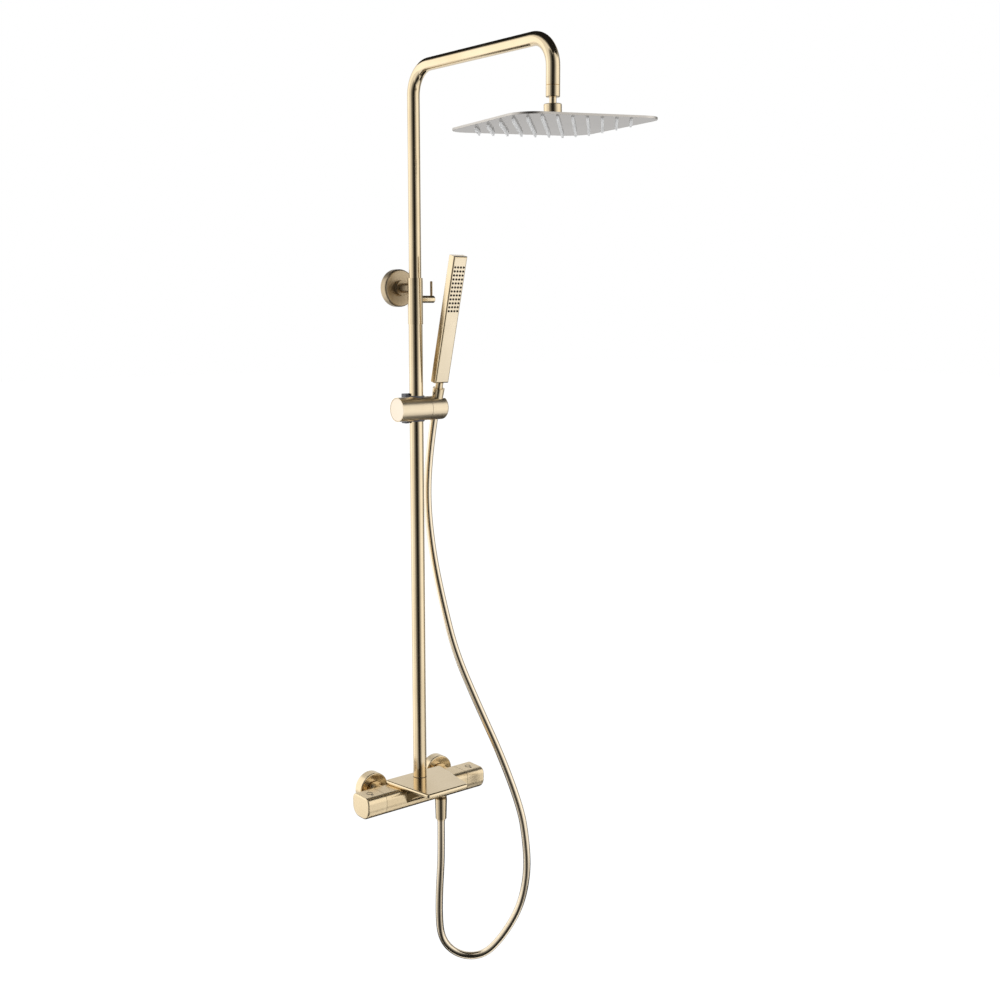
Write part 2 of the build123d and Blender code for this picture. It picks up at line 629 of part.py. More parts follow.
def lock_knob():
    shape = rod(LOCK_D, LOCK_KNOB_START, LOCK_KNOB_END, "X", LOCK)
    shape = fillet(end_edges(shape, Axis.X, True), OVERSHOOT)
    shape += rod(LOCK_SCREW_D, ARM_D / 2 + 2 * CLEARANCE, LOCK_KNOB_START, "X", LOCK)
    return shape - rod(LEVER_D + 2 * SEAT_GAP, LOCK_Z, LOCK_Z + LOCK_D, "Z", (LEVER_X, COLUMN_Y))


def lock_lever():
    low = LOCK_Z + SEAT_GAP
    shape = rod(LEVER_D, low, LOCK_Z + LEVER_LENGTH, "Z", (LEVER_X, COLUMN_Y))
    return fillet(end_edges(shape, Axis.Z, True), LEVER_D / 4)


# Shower arm, which telescopes in the riser and turns on its guide ring

PLUG_FLANGE_LOW = ARM_LOWER_Z - TAIL_PLUG_FLANGE
PLUG_LOW = PLUG_FLANGE_LOW - TAIL_PLUG_SPIGOT_LENGTH
RING_TOP = PLUG_FLANGE_LOW - SEAT_GAP
RING_LOW = RING_TOP - GUIDE_RING_LENGTH
CLIP_TOP = RING_LOW - SEAT_GAP


def shower_arm():
    corners = [
        (0, COLUMN_Y, ARM_LOWER_Z),
        (0, COLUMN_Y, ARM_Z),
        (0, ARM_Y, ARM_Z),
        (0, ARM_Y, ARM_DROP_END_Z),
    ]
    path = FilletPolyline(*corners, radius=ARM_BEND_RADIUS)
    section = Pos(0, COLUMN_Y, ARM_LOWER_Z) * (Circle(ARM_D / 2) - Circle(ARM_BORE / 2))
    return sweep(section, path=path)


def arm_tail_plug():
    insert_d = ARM_BORE - 2 * SEAT_GAP
    shape = rod(insert_d, ARM_LOWER_Z, ARM_LOWER_Z + TAIL_PLUG_INSERT, "Z", COLUMN)
    shape += rod(ARM_D, PLUG_FLANGE_LOW, ARM_LOWER_Z, "Z", COLUMN)
    shape += rod(TAIL_PLUG_SPIGOT_D, PLUG_LOW, PLUG_FLANGE_LOW, "Z", COLUMN)
    groove_d = TAIL_PLUG_SPIGOT_D - 2 * CLIP_DEPTH
    shape -= ring(ARM_D, groove_d, CLIP_TOP - CLIP_THICKNESS - SEAT_GAP, CLIP_TOP, "Z", COLUMN)
    return shape - rod(TAIL_PLUG_BORE, PLUG_LOW - OVERSHOOT, ARM_LOWER_Z + TAIL_PLUG_INSERT + OVERSHOOT, "Z", COLUMN)


def arm_guide_ring():
    inner = TAIL_PLUG_SPIGOT_D + 2 * RUNNING_FIT
    return ring(RISER_BORE - 2 * RUNNING_FIT, inner, RING_LOW, RING_TOP, "Z", COLUMN)


def arm_circlip():
    inner = TAIL_PLUG_SPIGOT_D - 2 * CLIP_DEPTH + SEAT_GAP
    outer = TAIL_PLUG_SPIGOT_D + 2 * CLIP_LIP
    shape = ring(outer, inner, CLIP_TOP - CLIP_THICKNESS, CLIP_TOP - SEAT_GAP / 2, "Z", COLUMN)
    mouth = Box(outer, outer / 4, CLIP_THICKNESS + 2 * OVERSHOOT)
    return shape - Pos(outer / 2, COLUMN_Y, CLIP_TOP - CLIP_THICKNESS / 2) * mouth


# Ball joint between the arm and the rain head

COLLAR_LOW = ARM_DROP_END_Z - COLLAR_LENGTH


def arm_collar():
    shape = ring(ARM_D, STEM_SHANK_D + 2 * SEAT_GAP, COLLAR_LOW, ARM_DROP_END_Z, "Z", DROP)
    return chamfer(shape.edges().filter_by(GeomType.CIRCLE).sort_by(SortBy.RADIUS)[-2:], COLLAR_EDGE)


def ball_stem():
    top = ARM_DROP_END_Z + STEM_INSERT
    shape = rod(STEM_SHANK_D, COLLAR_LOW, top, "Z", DROP)
    shape += rod(STEM_NECK_D, BALL_Z, COLLAR_LOW, "Z", DROP)
    shape += Pos(0, ARM_Y, BALL_Z) * Sphere(BALL_D / 2)
    return shape - rod(STEM_BORE, BALL_Z - BALL_D, top + OVERSHOOT, "Z", DROP)


def ball_shell(low_angle, high_angle):
    """Part of a thin ball cup between two latitudes, spun about the drop pipe's axis."""
    points = []
    for radius, angles in ((SHELL_INNER_R, (low_angle, high_angle)), (SHELL_OUTER_R, (high_angle, low_angle))):
        middle = (low_angle + high_angle) / 2
        points.append([(radius * cos(radians(a)), radius * sin(radians(a))) for a in (angles[0], middle, angles[1])])
    inner, outer = points
    lines = [ThreePointArc(*inner), Line(inner[2], outer[0]), ThreePointArc(*outer), Line(outer[2], inner[0])]
    profile = Plane.XZ * make_face(Curve() + lines)
    return Pos(0, ARM_Y, BALL_Z) * revolve(profile, Axis.Z)


def ball_ring():
    return ball_shell(RING_LOW_ANGLE, RING_HIGH_ANGLE)


def ball_seat():
    return ball_shell(-SEAT_LOW_ANGLE, -SEAT_HIGH_ANGLE)


def ball_cavity():
    return Pos(0, ARM_Y, BALL_Z) * Sphere(CAVITY_R)


NUT_LOW_Z = HEAD_NUT_TOP_Z - HEAD_NUT_LENGTH
BOSS_SHOULDER_Z = NUT_LOW_Z - CLEARANCE
NECK_TOP_Z = BOSS_SHOULDER_Z + BOSS_NECK_LENGTH
HEAD_TURN = Pos(0, ARM_Y, BALL_Z) * Rot(0, -HEAD_LEAN, 0) * Pos(0, -ARM_Y, -BALL_Z)


def head_nut():
    shape = rod(HEAD_NUT_D, NUT_LOW_Z, HEAD_NUT_TOP_Z, "Z", DROP)
    shape = fillet(end_edges(shape, Axis.Z, True), HEAD_NUT_EDGE)
    shape -= rod(BOSS_NECK_D + 2 * SEAT_GAP, NUT_LOW_Z - OVERSHOOT, NECK_TOP_Z + SEAT_GAP, "Z", DROP)
    shape -= ball_cavity()
    lean = tan(radians(sqrt(2) * BALL_TILT))
    neck_r = STEM_NECK_D / 2 / cos(radians(sqrt(2) * BALL_TILT)) + CLEARANCE
    mouth_top = HEAD_NUT_TOP + OVERSHOOT
    mouth = taper(2 * neck_r, 2 * (neck_r + mouth_top * lean), BALL_Z, BALL_Z + mouth_top, DROP)
    return HEAD_TURN * (shape - mouth)


def head_boss():
    shape = rod(HEAD_NUT_D, HEAD_TOP_Z, BOSS_SHOULDER_Z, "Z", DROP)
    shape += rod(BOSS_NECK_D, BOSS_SHOULDER_Z, NECK_TOP_Z, "Z", DROP)
    shape -= ball_cavity()
    return HEAD_TURN * (shape - rod(STEM_NECK_D, HEAD_TOP_Z - OVERSHOOT, BALL_Z, "Z", DROP))


# Rain head, made of two thin steel sheets with a soft nozzle mat between them

HEAD_PLACE = HEAD_TURN * Pos(0, ARM_Y, HEAD_BOTTOM_Z) * Rot(0, 0, HEAD_YAW)
FACE_SIDE = HEAD_SIDE - 2 * HEAD_RIM - 2 * SEAT_GAP
FACE_CORNER = HEAD_CORNER - HEAD_RIM - SEAT_GAP
MAT_LOW = HEAD_SHEET + SEAT_GAP


def square_sheet(side, corner, low, thickness):
    return Pos(0, 0, low) * extrude(RectangleRounded(side, side, corner), thickness)


def nozzle_places():
    """Staggered nozzle grid, where every second row has one nozzle fewer and the corners stay bare."""
    places = []
    for row in range(NOZZLE_ROWS):
        count = NOZZLE_COLUMNS - row % 2
        if row in (0, NOZZLE_ROWS - 1):
            count -= 2
        y = (row - (NOZZLE_ROWS - 1) / 2) * NOZZLE_PITCH_Y
        places += [((i - (count - 1) / 2) * NOZZLE_PITCH_X, y) for i in range(count)]
    return places


def head_top_plate():
    shape = square_sheet(HEAD_SIDE, HEAD_CORNER, 0, HEAD_THICKNESS)
    cavity = square_sheet(
        HEAD_SIDE - 2 * HEAD_RIM, HEAD_CORNER - HEAD_RIM, -OVERSHOOT, HEAD_THICKNESS - HEAD_SHEET + OVERSHOOT
    )
    water = rod(STEM_NECK_D, 0, HEAD_THICKNESS + OVERSHOOT, "Z", (0, 0))
    return HEAD_PLACE * (shape - cavity - water)


def head_face_plate():
    shape = square_sheet(FACE_SIDE, FACE_CORNER, 0, HEAD_SHEET)
    holes = [rod(NOZZLE_HOLE_D, -OVERSHOOT, HEAD_SHEET + OVERSHOOT, "Z", at) for at in nozzle_places()]
    return HEAD_PLACE * (shape - holes)


def head_nozzles():
    side = FACE_SIDE - 2 * MAT_MARGIN
    mat = square_sheet(side, FACE_CORNER - MAT_MARGIN, MAT_LOW, MAT_THICKNESS)
    high = MAT_LOW + MAT_THICKNESS / 2
    return HEAD_PLACE * (mat + [taper(NOZZLE_TIP_D, NOZZLE_ROOT_D, -NOZZLE_LENGTH, high, at) for at in nozzle_places()])


# Slider on the riser, with its release button

BUSH_LOW = SLIDER_Z - BUSH_LENGTH / 2
BUSH_HIGH = SLIDER_Z + BUSH_LENGTH / 2
BUTTON_D = SLIDER_D - 2 * BUTTON_RIM - 2 * RUNNING_FIT
BUTTON_BACK = -SLIDER_LEFT + BUTTON_THICKNESS
POCKET_FLOOR = -SLIDER_LEFT + BUTTON_POCKET


def slider_bush():
    return ring(BUSH_D, RISER_D + 2 * RUNNING_FIT, BUSH_LOW, BUSH_HIGH, "Z", COLUMN)


def insert_block(grow):
    """Block behind the riser that closes the slider's back."""
    left = INSERT_LEFT + grow
    right = INSERT_RIGHT + grow
    front_y = COLUMN_Y + INSERT_BACK - INSERT_DEPTH - grow
    back_y = COLUMN_Y + INSERT_BACK + grow
    block = Box(left + right, back_y - front_y, INSERT_HEIGHT + 2 * grow)
    return Pos((right - left) / 2, (front_y + back_y) / 2, SLIDER_Z) * block


def bush_bore():
    bore_d = BUSH_D + 2 * RUNNING_FIT
    reach = max(BUSH_LENGTH, INSERT_HEIGHT) / 2 + OVERSHOOT
    return rod(bore_d, SLIDER_Z - reach, SLIDER_Z + reach, "Z", COLUMN)


def slider_body():
    shape = rod(SLIDER_D, -SLIDER_LEFT, SLIDER_RIGHT, "X", SLIDER_AXIS)
    shape += rod(HOLDER_STUB_D, SLIDER_RIGHT, HOLDER_LEFT + HOLDER_STUB_LENGTH, "X", SLIDER_AXIS)
    shape -= rod(SLIDER_D - 2 * BUTTON_RIM, -SLIDER_LEFT - OVERSHOOT, POCKET_FLOOR, "X", SLIDER_AXIS)
    stem_end = BUTTON_BACK + BUTTON_STEM_LENGTH + BUTTON_TRAVEL + CLEARANCE
    shape -= rod(BUTTON_STEM_D + 2 * RUNNING_FIT, POCKET_FLOOR - OVERSHOOT, stem_end, "X", SLIDER_AXIS)
    return shape - bush_bore() - insert_block(SEAT_GAP)


def slider_insert():
    shape = insert_block(0)
    uprights = shape.edges().filter_by(Axis.Z).sort_by(Axis.Y)[-2:]
    return fillet(uprights, INSERT_DEPTH / 5) - bush_bore()


def slider_button():
    shape = rod(BUTTON_D, -SLIDER_LEFT, BUTTON_BACK, "X", SLIDER_AXIS)
    shape = fillet(end_edges(shape, Axis.X, False), BUTTON_EDGE)
    return shape + rod(BUTTON_STEM_D, BUTTON_BACK, BUTTON_BACK + BUTTON_STEM_LENGTH, "X", SLIDER_AXIS)


def button_spring():
    room = POCKET_FLOOR - BUTTON_BACK - SPRING_WIRE - 2 * SEAT_GAP
    coil = Helix(room / SPRING_TURNS, room, SPRING_D / 2)
    wire = sweep(Plane(coil @ 0, z_dir=coil % 0) * Circle(SPRING_WIRE / 2), path=coil)
    return Pos(BUTTON_BACK + SEAT_GAP + SPRING_WIRE / 2, *SLIDER_AXIS) * Rot(0, 90, 0) * wire


def holder_washer():
    return ring(HOLDER_WASHER_D, HOLDER_WASHER_BORE, SLIDER_RIGHT, HOLDER_LEFT - CLEARANCE, "X", SLIDER_AXIS)


# Handset holder and handset, drawn upright about the holder's axis and then leaned forwards


def nut_diameter(height):
    share = (height - CONE_NUT_START) / (CONE_NUT_END - CONE_NUT_START)
    return CONE_NUT_BOTTOM_D + share * (CONE_NUT_TOP_D - CONE_NUT_BOTTOM_D)


def handset_holder():
    shape = rod(SLIDER_D, HOLDER_LEFT, HOLDER_RIGHT, "X", SLIDER_AXIS)
    shape = fillet(end_edges(shape, Axis.X, True), HOLDER_EDGE)
    stub_end = HOLDER_LEFT + HOLDER_STUB_LENGTH + CLEARANCE
    shape -= rod(HOLDER_STUB_D + 2 * RUNNING_FIT, HOLDER_LEFT - OVERSHOOT, stub_end, "X", SLIDER_AXIS)
    reach = SLIDER_D
    hole = taper(nut_diameter(-reach) + 2 * CLEARANCE, nut_diameter(reach) + 2 * CLEARANCE, -reach, reach, (0, 0))
    slot = Pos(SLIDER_D / 2, 0, 0) * Box(SLIDER_D, HOLDER_SLOT, 2 * reach)
    return shape - HANDSET_PLACE * hole - HANDSET_PLACE * slot


HANDSET_END = HANDSET_START + HANDSET_LENGTH
FACE_Y = -HANDSET_THICKNESS / 2 + HANDSET_FACE


def handset_shell():
    middle_z = (HANDSET_START + HANDSET_END) / 2
    shape = Pos(0, 0, middle_z) * Box(HANDSET_WIDTH, HANDSET_THICKNESS, HANDSET_LENGTH)
    shape = fillet(shape.edges().filter_by(Axis.Z).sort_by(Axis.Y)[-2:], HANDSET_EDGE)
    shape = fillet(end_edges(shape, Axis.Y, False), HANDSET_FRONT_EDGE)
    depth = HANDSET_THICKNESS / 2 - HANDSET_WALL - FACE_Y
    hollow = Box(HANDSET_WIDTH - 2 * HANDSET_WALL, depth, HANDSET_LENGTH - 2 * HANDSET_WALL)
    shape -= Pos(0, FACE_Y + depth / 2, middle_z) * hollow
    shape -= face_plate(SEAT_GAP)
    shape -= rod(NECK_PLUG_D + 2 * SEAT_GAP, HANDSET_START - OVERSHOOT, HANDSET_START + HANDSET_WALL + OVERSHOOT, "Z", (0, 0))
    return HANDSET_PLACE * shape


def face_plate(grow):
    """Flat plate in the shell's front, or with grow the opening that it sits in."""
    width = HANDSET_WIDTH - 2 * HANDSET_FRONT_EDGE + 2 * grow
    height = HANDSET_LENGTH - 2 * HANDSET_FRONT_EDGE + 2 * grow
    depth = HANDSET_FACE + 2 * grow
    return Pos(0, FACE_Y - HANDSET_FACE / 2, (HANDSET_START + HANDSET_END) / 2) * Box(width, depth, height)


def spray_places():
    """Spray hole grid on the handset's face, as across and up positions."""
    first_z = HANDSET_END - SPRAY_TOP_MARGIN
    across = [(i - (SPRAY_COLUMNS - 1) / 2) * SPRAY_PITCH_ACROSS for i in range(SPRAY_COLUMNS)]
    return [(x, first_z - row * SPRAY_PITCH) for row in range(SPRAY_ROWS) for x in across]


def handset_face():
    hole_d = SPRAY_D + 2 * CLEARANCE
    holes = [rod(hole_d, FACE_Y - HANDSET_FACE - OVERSHOOT, FACE_Y + OVERSHOOT, "Y", at) for at in spray_places()]
    return HANDSET_PLACE * (face_plate(0) - holes)


def handset_nozzles():
    width = HANDSET_WIDTH - 2 * HANDSET_WALL - 2 * CLEARANCE
    height = (SPRAY_ROWS - 1) * SPRAY_PITCH + 2 * SPRAY_MAT_MARGIN
    middle_z = HANDSET_END - SPRAY_TOP_MARGIN - (SPRAY_ROWS - 1) * SPRAY_PITCH / 2
    low_y = FACE_Y + SEAT_GAP
    mat = Pos(0, low_y + SPRAY_MAT_THICKNESS / 2, middle_z) * Box(width, SPRAY_MAT_THICKNESS, height)
    front_y = FACE_Y - HANDSET_FACE - SPRAY_STAND
    buttons = [rod(SPRAY_D, front_y, low_y + SPRAY_MAT_THICKNESS / 2, "Y", at) for at in spray_places()]
    return HANDSET_PLACE * (mat + buttons)


NECK_THREAD_LOW = CONE_NUT_START + CONE_NUT_FLOOR + HANDSET_WASHER_THICKNESS + SEAT_GAP


def handset_neck():
    shape = rod(NECK_D, CONE_NUT_END, HANDSET_START, "Z", (0, 0))
    shape += rod(NECK_PLUG_D, HANDSET_START, HANDSET_START + NECK_PLUG_LENGTH, "Z", (0, 0))
    shape += rod(NECK_D, NECK_THREAD_LOW, CONE_NUT_END, "Z", (0, 0))
    return HANDSET_PLACE * (shape - rod(NECK_BORE, NECK_THREAD_LOW - OVERSHOOT, HANDSET_END, "Z", (0, 0)))


def handset_cone_nut():
    shape = taper(CONE_NUT_BOTTOM_D, CONE_NUT_TOP_D, CONE_NUT_START, CONE_NUT_END, (0, 0))
    floor = CONE_NUT_START + CONE_NUT_FLOOR
    shape -= rod(NECK_D + 2 * SEAT_GAP, floor, CONE_NUT_END + OVERSHOOT, "Z", (0, 0))
    return HANDSET_PLACE * (shape - rod(FERRULE_NECK_D + 2 * SEAT_GAP, CONE_NUT_START - OVERSHOOT, floor, "Z", (0, 0)))


def handset_washer():
    low = CONE_NUT_START + CONE_NUT_FLOOR + SEAT_GAP / 2
    return HANDSET_PLACE * ring(NECK_D, NECK_BORE, low, low + HANDSET_WASHER_THICKNESS, "Z", (0, 0))


def hose_upper_ferrule():
    high = CONE_NUT_START + CONE_NUT_FLOOR
    shape = rod(FERRULE_D, -HOSE_START, CONE_NUT_START, "Z", (0, 0))
    shape += rod(FERRULE_NECK_D, CONE_NUT_START, high, "Z", (0, 0))
    return HANDSET_PLACE * (shape - rod(NECK_BORE, -HOSE_START - OVERSHOOT, high + OVERSHOOT, "Z", (0, 0)))


# Hose and its lower fittings under the bar


def hose_outlet_nipple():
    low = BAR_BOTTOM_Z - OUTLET_THREAD_LENGTH
    return ring(G_HALF_D, OUTLET_BORE, low, BAR_BOTTOM_Z + OUTLET_INSERT - SEAT_GAP, "Z", HOSE_OUTLET)


def hose_lower_nut():
    shape = taper(HOSE_NUT_BOTTOM_D, HOSE_NUT_TOP_D, HOSE_NUT_BOTTOM_Z, HOSE_NUT_TOP_Z, HOSE_OUTLET)
    floor = BAR_BOTTOM_Z - OUTLET_THREAD_LENGTH - SEAT_GAP
    shape -= rod(G_HALF_D + 2 * SEAT_GAP, floor, HOSE_NUT_TOP_Z + OVERSHOOT, "Z", HOSE_OUTLET)
    return shape - rod(FERRULE_NECK_D + 2 * SEAT_GAP, HOSE_NUT_BOTTOM_Z - OVERSHOOT, floor, "Z", HOSE_OUTLET)


def hose_lower_ferrule():
    high = BAR_BOTTOM_Z - OUTLET_THREAD_LENGTH - SEAT_GAP
    shape = rod(FERRULE_D, HOSE_END_Z, HOSE_NUT_BOTTOM_Z, "Z", HOSE_OUTLET)
    shape += rod(FERRULE_NECK_D, HOSE_NUT_BOTTOM_Z, high, "Z", HOSE_OUTLET)
    return shape - rod(NECK_BORE, HOSE_END_Z - OVERSHOOT, high + OVERSHOOT, "Z", HOSE_OUTLET)


def hose_points():
    """Whole route, from the handset's nut down to the outlet under the bar."""
    start = HANDSET_PLACE * Vertex(0, 0, -HOSE_START)
    straight = HANDSET_PLACE * Vertex(0, 0, -HOSE_STRAIGHT)
    points = [Vector(start.center()), Vector(straight.center())]
    points += [Vector(*point) for point in HOSE_ROUTE]
    return points + [Vector(*HOSE_OUTLET, HOSE_TAIL_Z), Vector(*HOSE_OUTLET, HOSE_END_Z)]


def corner_radius(before, corner, after):
    """Largest round that the two runs at a corner leave room for."""
    shorter = min((corner - before).length, (after - corner).length)
    turn = (corner - before).get_angle(after - corner)
    return HOSE_ARC_SHARE * shorter / tan(radians(turn / 2))


def hose_stretch(name, first, last):
    """Tube over the route's points first to last, cut in the middle of the runs beyond them."""
    points = hose_points()
    stretch = points[first : last + 1]
    radii = [corner_radius(*points[i - 1 : i + 2]) for i in range(max(first, 1), min(last + 1, len(points) - 1))]
    if first > 0:
        stretch.insert(0, (points[first - 1] + points[first]) / 2)
    if last < len(points) - 1:
        stretch.append((points[last] + points[last + 1]) / 2)
    path = FilletPolyline(*stretch, radius=radii)
    section = Plane(stretch[0], z_dir=stretch[1] - stretch[0]) * (Circle(HOSE_D / 2) - Circle(HOSE_BORE / 2))
    tube = sweep(section, path=path)
    expected = section.area * path.length
    print(name, "radii", [round(r) for r in radii], "length", round(path.length, 1))
    print(name, "volume over section times length", round(tube.volume / expected, 5))
    return tube


def last_point():
    return len(hose_points()) - 1


NODES = {
    "wall_unions": mirror_pair(wall_union),
    "rosettes": mirror_pair(rosette),
    "union_nuts": mirror_pair(union_nut),
    "inlet_tails": mirror_pair(inlet_tail),
    "inlet_filters": mirror_pair(filter_washer) + mirror_pair(check_valve),
    "valve_body": valve_body(),
    "shelf": shelf(),
    "thermostat_cartridge": cartridge(-1),
    "flow_cartridge": cartridge(1),
    "stop_rings": mirror_pair(stop_ring),
    "thermostat_spindle": spindle(-1),
    "flow_spindle": spindle(1),
    "temperature_knob": knob(-1),
    "flow_knob": knob(1),
    "temperature_knob_screw": knob_screw(-1),
    "flow_knob_screw": knob_screw(1),
    "riser_base_nipple": riser_base_nipple(),
    "riser_seals": riser_seals(),
    "riser_pipe": riser_pipe(),
    "bracket_sleeve": bracket_sleeve(),
    "sleeve_guide_bush": sleeve_guide_bush(),
    "wall_flange": wall_flange(),
    "bracket_base": bracket_base(),
    "bracket_rod": bracket_rod(),
    "bracket_grub_screw": bracket_grub_screw(),
    "lock_barrel": lock_barrel(),
    "lock_knob": lock_knob(),
    "lock_lever": lock_lever(),
    "arm_guide_ring": arm_guide_ring(),
    "shower_arm": shower_arm(),
    "arm_tail_plug": arm_tail_plug(),
    "arm_circlip": arm_circlip(),
    "arm_collar": arm_collar(),
    "ball_stem": ball_stem(),
    "ball_ring": ball_ring(),
    "ball_seat": ball_seat(),
    "head_nut": head_nut(),
    "head_boss": head_boss(),
    "head_top_plate": head_top_plate(),
    "head_face_plate": head_face_plate(),
    "head_nozzles": head_nozzles(),
    "slider_bush": slider_bush(),
    "slider_body": slider_body(),
    "slider_insert": slider_insert(),
    "slider_button": slider_button(),
    "button_spring": button_spring(),
    "holder_washer": holder_washer(),
    "handset_holder": handset_holder(),
    "handset_shell": handset_shell(),
    "handset_face": handset_face(),
    "handset_nozzles": handset_nozzles(),
    "handset_neck": handset_neck(),
    "handset_cone_nut": handset_cone_nut(),
    "handset_washer": handset_washer(),
    "hose_upper_ferrule": hose_upper_ferrule(),
    "hose_fittings": [hose_outlet_nipple(), hose_lower_nut(), hose_lower_ferrule()],
    "hose_loop": hose_stretch("hose_loop", 4, last_point()),
    "hose_upper": hose_stretch("hose_upper", 3, 3),
    "hose_under_slider": hose_stretch("hose_under_slider", 2, 2),
    "hose_at_handset": hose_stretch("hose_at_handset", 0, 1),
}

os.makedirs("parts", exist_ok=True)
for node, made in NODES.items():
    pieces = made if isinstance(made, list) else [made]
    solids = [solid for piece in pieces for solid in piece.solids()]
    export_step(Compound(label=node, children=solids), os.path.join("parts", node + ".step"))
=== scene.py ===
import bpy
import math
from mathutils import Matrix, Vector


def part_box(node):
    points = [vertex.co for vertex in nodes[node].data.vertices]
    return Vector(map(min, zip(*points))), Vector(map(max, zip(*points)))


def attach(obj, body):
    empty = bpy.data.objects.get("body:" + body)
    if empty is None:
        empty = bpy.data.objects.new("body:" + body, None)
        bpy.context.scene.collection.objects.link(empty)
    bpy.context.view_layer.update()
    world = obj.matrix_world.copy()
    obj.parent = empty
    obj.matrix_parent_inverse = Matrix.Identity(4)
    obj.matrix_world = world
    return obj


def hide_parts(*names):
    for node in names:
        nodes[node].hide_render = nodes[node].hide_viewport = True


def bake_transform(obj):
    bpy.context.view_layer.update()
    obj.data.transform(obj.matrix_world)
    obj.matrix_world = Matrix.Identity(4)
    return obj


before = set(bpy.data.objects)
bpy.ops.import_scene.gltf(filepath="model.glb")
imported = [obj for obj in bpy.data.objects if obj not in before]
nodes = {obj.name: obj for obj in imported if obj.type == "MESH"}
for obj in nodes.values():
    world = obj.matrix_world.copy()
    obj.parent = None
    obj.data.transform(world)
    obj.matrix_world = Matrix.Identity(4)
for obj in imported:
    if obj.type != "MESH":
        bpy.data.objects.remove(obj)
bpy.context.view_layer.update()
scene = bpy.context.scene

# Camera, left of the shower at eye height and looking slightly down, as for a catalogue picture.
# Its lens is a little longer than normal, so that the tall column keeps straight edges.
bpy.ops.object.select_all(action="DESELECT")
camera_place = (-1.34966, -1.96563, 0.89829)
camera_turn = (math.radians(81.36), 0, math.radians(-39))
bpy.ops.object.camera_add(location=camera_place, rotation=camera_turn)
camera = bpy.context.object
camera.data.lens = 46.656
camera.data.sensor_width = 36
scene.camera = camera
scene.view_settings.view_transform = "Standard"

# Studio room, a white surround over a wide pale floor one metre below the mixer bar.
# The surround shows white to the lens and in the metal, and lights everything a little softer.
world = bpy.data.worlds.new("studio_surround")
scene.world = world
world.use_nodes = True
room = world.node_tree
room.nodes.clear()
seen = room.nodes.new("ShaderNodeBackground")
seen.inputs["Color"].default_value = (1, 1, 1, 1)
seen.inputs["Strength"].default_value = 1.0
lit = room.nodes.new("ShaderNodeBackground")
lit.inputs["Color"].default_value = (0.95, 0.97, 1.0, 1)
lit.inputs["Strength"].default_value = 0.95
rays = room.nodes.new("ShaderNodeLightPath")
look = room.nodes.new("ShaderNodeMath")
look.operation = "ADD"
through = room.nodes.new("ShaderNodeMath")
through.operation = "ADD"
through.use_clamp = True
blend_room = room.nodes.new("ShaderNodeMixShader")
room_out = room.nodes.new("ShaderNodeOutputWorld")
room.links.new(rays.outputs["Is Camera Ray"], look.inputs[0])
room.links.new(rays.outputs["Is Glossy Ray"], look.inputs[1])
room.links.new(look.outputs[0], through.inputs[0])
room.links.new(rays.outputs["Is Transmission Ray"], through.inputs[1])
room.links.new(through.outputs[0], blend_room.inputs[0])
room.links.new(lit.outputs[0], blend_room.inputs[1])
room.links.new(seen.outputs[0], blend_room.inputs[2])
room.links.new(blend_room.outputs[0], room_out.inputs[0])

floor_paint = bpy.data.materials.new("pale_floor")
floor_paint.use_nodes = True
paint = floor_paint.node_tree
paint.nodes.clear()
matt = paint.nodes.new("ShaderNodeBsdfDiffuse")
matt.inputs["Color"].default_value = (0.9, 0.9, 0.9, 1)
glow = paint.nodes.new("ShaderNodeEmission")
glow.inputs["Strength"].default_value = 1.08
floor_rays = paint.nodes.new("ShaderNodeLightPath")
floor_look = paint.nodes.new("ShaderNodeMath")
floor_look.operation = "ADD"
floor_share = paint.nodes.new("ShaderNodeMath")
floor_share.operation = "MULTIPLY"
floor_share.inputs[1].default_value = 0.85
floor_mix = paint.nodes.new("ShaderNodeMixShader")
floor_out = paint.nodes.new("ShaderNodeOutputMaterial")
paint.links.new(floor_rays.outputs["Is Camera Ray"], floor_look.inputs[0])
paint.links.new(floor_rays.outputs["Is Glossy Ray"], floor_look.inputs[1])
paint.links.new(floor_look.outputs[0], floor_share.inputs[0])
paint.links.new(floor_share.outputs[0], floor_mix.inputs[0])
paint.links.new(matt.outputs[0], floor_mix.inputs[1])
paint.links.new(glow.outputs[0], floor_mix.inputs[2])
paint.links.new(floor_mix.outputs[0], floor_out.inputs[0])
bpy.ops.mesh.primitive_plane_add(size=60, location=(0, 0, -1.0))
floor = bpy.context.object
floor.name = "studio_floor"
floor.data.materials.append(floor_paint)

# Softboxes, a tall one behind on the left, one in front on the right, and a wide one overhead.
# The upright two draw the bright bands on the metal, and the third gives the shadow on the floor.
aim = Vector((0, -0.1, 0.55))
softboxes = (
    ("left_softbox", (-1.64, 1.92, 0.75), 1.8, 3.4, 8.0, True),
    ("right_softbox", (1.64, -2.12, 0.9), 1.5, 3.0, 4.0, True),
    ("top_softbox", (-1.2, -1.6, 3.2), 1.6, 1.6, 26.0, False),
)
for name, place, width, height, power, mirrored in softboxes:
    bpy.ops.object.light_add(type="AREA", location=place)
    softbox = bpy.context.object
    softbox.name = name
    softbox.data.shape = "RECTANGLE"
    softbox.data.size = width
    softbox.data.size_y = height
    softbox.data.energy = power
    softbox.rotation_euler = (aim - Vector(place)).to_track_quat("-Z", "Y").to_euler()
    softbox.visible_camera = False
    softbox.visible_glossy = mirrored

